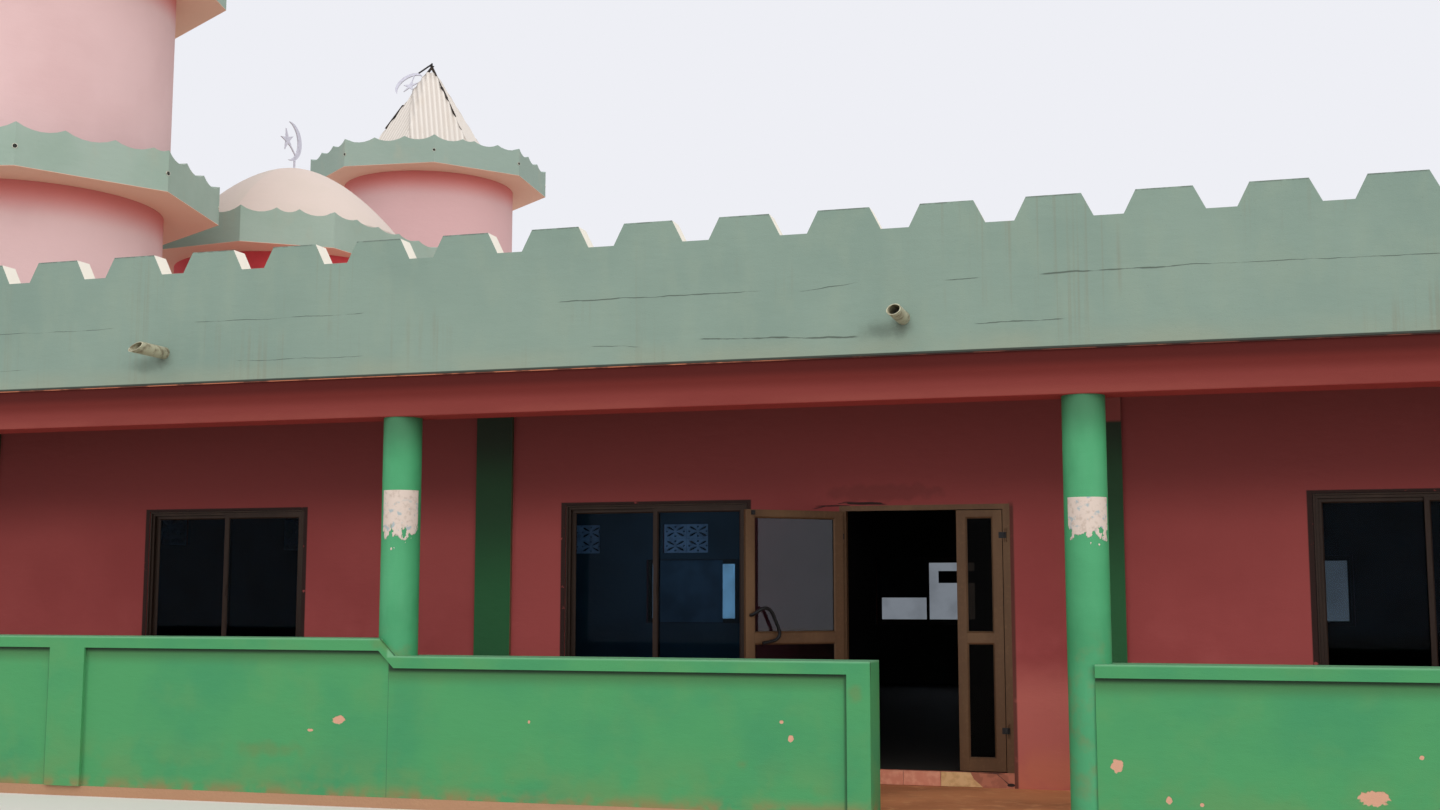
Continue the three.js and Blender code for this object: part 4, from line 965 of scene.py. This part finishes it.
for name, y, reach, turn in (("front_tower", -TOWER_Y, 2.08, 14.5), ("back_tower", TOWER_Y, 1.97, 6.0)):
    corners = []
    for number in range(8):
        heading = math.radians(turn + 22.5 + 45 * number)
        for soffit in SOFFITS:
            place = Vector((TOWER_X, y, soffit + DRAIN_LEVEL))
            place += reach * Vector((math.cos(heading), math.sin(heading), 0))
            corners.append(Matrix.Translation(place) @ Matrix.Rotation(heading, 4, "Z"))
    make_drains(name, corners)


# The tower roofs: six corrugated sheets each, nailed to timber hips that meet at the peak. The sheets
# have pulled apart along some hips, where the dark timber shows, and end short of the peak.
ROOF_FOOT = 8.55
ROOF_RISE = 2.05
ROOF_RADIUS = 1.34
ROOF_HALF = ROOF_RADIUS / 2
ROOF_APOTHEM = ROOF_RADIUS * math.cos(math.pi / 6)
ROOF_SLOPE = math.hypot(ROOF_APOTHEM, ROOF_RISE)
ROOF_TURN = math.radians(4.7)
SHEET_PITCH = 0.082
SHEET_WAVE = 0.009
SHEET_STEPS = 8
SHEET_ROWS = 8
SHEET_THICKNESS = 0.0015
SHEET_HEAD = 0.93
SHEET_GAP = 0.004
SHEET_SLIP = 0.01
SHEET_DENTS = (-0.0036, -0.0024)
HIP_ENDS = (0.03, 0.90)
HIP_DEPTH = 0.05
HIP_HALF_WIDTH = 0.022
HIP_SUNK = 0.04
HIP_BARE_PROUD = 0.008
BACK_GAPS = {1: [(0.66, 1.0, 0.012), (0.74, 0.82, 0.012), (0.39, 0.44, 0.012)]}
BACK_BARE_HIPS = [(5, 0.43, 0.64, 0.016), (5, 0.88, 1.0, 0.013), (1, 0.50, 0.68, 0.006),
                  (1, 0.68, 0.79, 0.018), (1, 0.79, 0.90, 0.005), (1, 0.90, 1.0, 0.012)]
FRONT_GAPS = {1: [(0.6, 0.8, 0.01)], 3: [(0.3, 0.5, 0.012)]}
sheet = Coat("roof_sheet", (211, 203, 193), 0.55, 0.05)
sheet.lay((200, 187, 169), sheet.clouds(0.25, 0.5, 0.8, stretch=(1, 1, 0.3)), 0.5)
sheet.lay((160, 134, 111), sheet.clouds(0.05, 0.66, 0.75), 0.5)
valley = sheet.add("ShaderNodeAttribute", {"attribute_name": "valley"}).outputs["Fac"]
# Painted shade: the sheets are darker down in the valleys between their ribs.
sheet.lay((166, 154, 143), valley, 0.55)
sheet = sheet.done()
timber = mottled("hip_timber", (52, 42, 34), (30, 24, 20), 0.1, 0.4, 0.6, 0.8)


def roof_point(facing, across, up, proud):
    """A point on the roof's face that looks towards this angle, from the middle of its eave."""
    outward = Vector((math.cos(facing), math.sin(facing), 0))
    along = Vector((-math.sin(facing), math.cos(facing), 0))
    slope = (Vector((0, 0, ROOF_RISE)) - outward * ROOF_APOTHEM).normalized()
    eave = outward * ROOF_APOTHEM + Vector((0, 0, ROOF_FOOT))
    return eave + along * across + slope * up + along.cross(slope) * proud


def ripple(across):
    """The level of a corrugated sheet against the tops of its ribs, 0 or below, this far across it."""
    return SHEET_WAVE * (math.cos(2 * math.pi * across / SHEET_PITCH) - 1)


def add_sheet_points(shape, line, across):
    """Points up a sheet, which also keep how deep they lie in a valley between its ribs."""
    depth = shape.verts.layers.float["valley"]
    points = [shape.verts.new(place) for place in line]
    for point in points:
        point[depth] = -ripple(across) / (2 * SHEET_WAVE)
    return points


def finish_sheets(name, shape, grids):
    """Joins the lines of points of each grid into one thin corrugated piece."""
    for grid in grids:
        for near, far in zip(grid, grid[1:]):
            for row in range(len(near) - 1):
                shape.faces.new((near[row], far[row], far[row + 1], near[row + 1]))
    bmesh.ops.dissolve_degenerate(shape, dist=0.0002, edges=shape.edges)
    piece = new_piece(name, shape, sheet, smooth=True)
    gauge = piece.modifiers.new("gauge", "SOLIDIFY")
    gauge.thickness = SHEET_THICKNESS
    gauge.offset = -1
    return piece


def add_hip(shape, place, hip, start, end, half_width, proud):
    """A timber up a hip between two shares of its length, standing this far out from the roof's edge."""
    angle = ROOF_TURN + math.radians(60 * hip - 90)
    outward = Vector((math.cos(angle), math.sin(angle), 0))
    side = Vector((-outward.y, outward.x, 0)) * half_width
    ends = []
    for share in (start, end):
        level = Vector((0, 0, ROOF_FOOT + ROOF_RISE * share))
        outer = place + outward * (ROOF_RADIUS * (1 - share) + proud) + level
        inner = outer - outward * HIP_DEPTH
        corners = (outer + side, outer - side, inner - side, inner + side)
        ends.append([shape.verts.new(corner) for corner in corners])
    join_rings(shape, *ends)
    shape.faces.new(ends[0][::-1])
    shape.faces.new(ends[1])


def make_tower_roof(name, place, gaps, bare_hips, seed):
    """The sheets and hips of one roof. gaps has (from, to, width) for hips by number, with from and to as
    shares of the hip; bare_hips has (hip, from, to, half width) where dark timber stands out."""
    chance = random.Random(seed)
    sheets, hips = bmesh.new(), bmesh.new()
    sheets.verts.layers.float.new("valley")
    columns = round(2 * ROOF_HALF / SHEET_PITCH * SHEET_STEPS)
    grids = []
    for face in range(6):
        facing = ROOF_TURN + math.radians(60 * face - 60)
        slip = chance.uniform(-SHEET_SLIP, SHEET_SLIP)
        grid = []
        for column in range(columns + 1):
            across = -ROOF_HALF + 2 * ROOF_HALF * column / columns
            share = 1 - abs(across) / ROOF_HALF
            hip = face if across < 0 else (face + 1) % 6
            gap = SHEET_GAP + sum(width for start, end, width in gaps.get(hip, []) if start < share < end)
            top = max(0.0, min(share - gap / ROOF_HALF, SHEET_HEAD)) * ROOF_SLOPE
            line = [place + roof_point(facing, across, top * row / SHEET_ROWS,
                                       ripple(across + slip) + chance.uniform(*SHEET_DENTS))
                    for row in range(SHEET_ROWS + 1)]
            grid.append(add_sheet_points(sheets, line, across + slip))
        grids.append(grid)
    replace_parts(finish_sheets(f"{name}_sheets", sheets, grids), f"{name}_roof")
    for hip in range(6):
        add_hip(hips, place, hip, *HIP_ENDS, HIP_HALF_WIDTH, -HIP_SUNK)
    for hip, start, end, half_width in bare_hips:
        add_hip(hips, place, hip, start, end, half_width, HIP_BARE_PROUD)
    new_piece(f"{name}_hips", hips, timber, edge=0.003)


front_tower_place = Vector((TOWER_X, -TOWER_Y, 0))
back_tower_place = Vector((TOWER_X, TOWER_Y, 0))
make_tower_roof("back_tower", back_tower_place, BACK_GAPS, BACK_BARE_HIPS, 4)
make_tower_roof("front_tower", front_tower_place, FRONT_GAPS, [], 9)


# One sheet of the back tower is wider than its face: it is bent round the hip on to the next face, where
# its left edge stands up a little.
LAP_FACING = ROOF_TURN - math.radians(60)
LAP_PROUD = (0.009, 0.022)
LAP_RIGHT = -3 * SHEET_PITCH
LAP_LEFT = 0.449
LAP_HEAD_SLOPE = 1.51
LAP_TORN_FROM = 0.36
LAP_TORN_HEADS = (0.76, 0.33)
LAP_SLANT = math.cos(math.radians(52))


def lapped_line(across):
    """The points up one line of the bent sheet: up its own face to the hip, then on over the next face."""
    hip = 1 - abs(across) / ROOF_HALF
    top = min(hip - SHEET_GAP, SHEET_HEAD)
    wave = ripple(across)
    line = [roof_point(LAP_FACING, -across, top * ROOF_SLOPE * row / SHEET_ROWS, LAP_PROUD[0] + wave)
            for row in range(SHEET_ROWS + 1)]
    head = 1 - across / LAP_HEAD_SLOPE
    if across >= LAP_TORN_FROM:
        torn = (across - LAP_TORN_FROM) / (LAP_LEFT - LAP_TORN_FROM)
        head = LAP_TORN_HEADS[0] + (LAP_TORN_HEADS[1] - LAP_TORN_HEADS[0]) * torn
    head = min(head, SHEET_HEAD)
    for row in range(1, SHEET_ROWS + 1):
        share = hip + (head - hip) * row / SHEET_ROWS
        edge = ROOF_HALF * (1 - share)
        beyond = (across - edge) / LAP_SLANT
        if across > 0 and head > hip:
            line.append(roof_point(LAP_FACING - math.radians(60), edge - beyond, share * ROOF_SLOPE,
                                   LAP_PROUD[1] + wave))
        else:
            line.append(line[-1])
    return [back_tower_place + point for point in line]


lapped = bmesh.new()
lapped.verts.layers.float.new("valley")
lapped_grid = []
for column in range(round((LAP_LEFT - LAP_RIGHT) / SHEET_PITCH * SHEET_STEPS) + 1):
    across = min(LAP_RIGHT + column * SHEET_PITCH / SHEET_STEPS, LAP_LEFT)
    lapped_grid.append(add_sheet_points(lapped, lapped_line(across), across))
finish_sheets("back_tower_lapped_sheet", lapped, [lapped_grid])


# The crescents and stars: cut from plate and painted silver. The pole of the toppled one is laid dark at
# the peak, where it bent.
silver = Coat("silver_paint", (196, 194, 204), 0.45, 0.3)
silver.lay((170, 166, 174), silver.clouds(0.05, 0.5, 0.7), 0.5)
silver.lay((38, 34, 34), silver.spot((TOWER_X, TOWER_Y, ROOF_FOOT + ROOF_RISE), (0.26, 0.26, 0.3), 0.2))
dress(silver.done(), "front_tower_crescent", "back_tower_crescent", "dome_crescent")


# The dome: a plastered shell on its own scalloped slab and crimson drum, between the towers. Painted
# light makes the shell's right half lighter, with the step between the halves along a faint seam.
DOME_X = -8.155
crimson = Coat("crimson_paint", (206, 70, 76), 0.8)
crimson.lay((180, 54, 62), crimson.clouds(0.6, 0.4, 0.7))
crimson.plaster_relief()
dress(crimson.done(), "dome_drum")
cream = Coat("dome_plaster", (196, 183, 172), 0.8)
cream.lay((181, 173, 158), cream.clouds(0.7, 0.4, 0.75), 0.7)
# Painted light: the shell is lighter right of its middle, where the light falls from the right.
cream.lay((203, 185, 174), cream.along("X", DOME_X - 0.02, DOME_X + 0.02), 0.6)
cream.plaster_relief()
dress(cream.done(), "dome_shell")
round_off(["dome_drum", "dome_shell"])
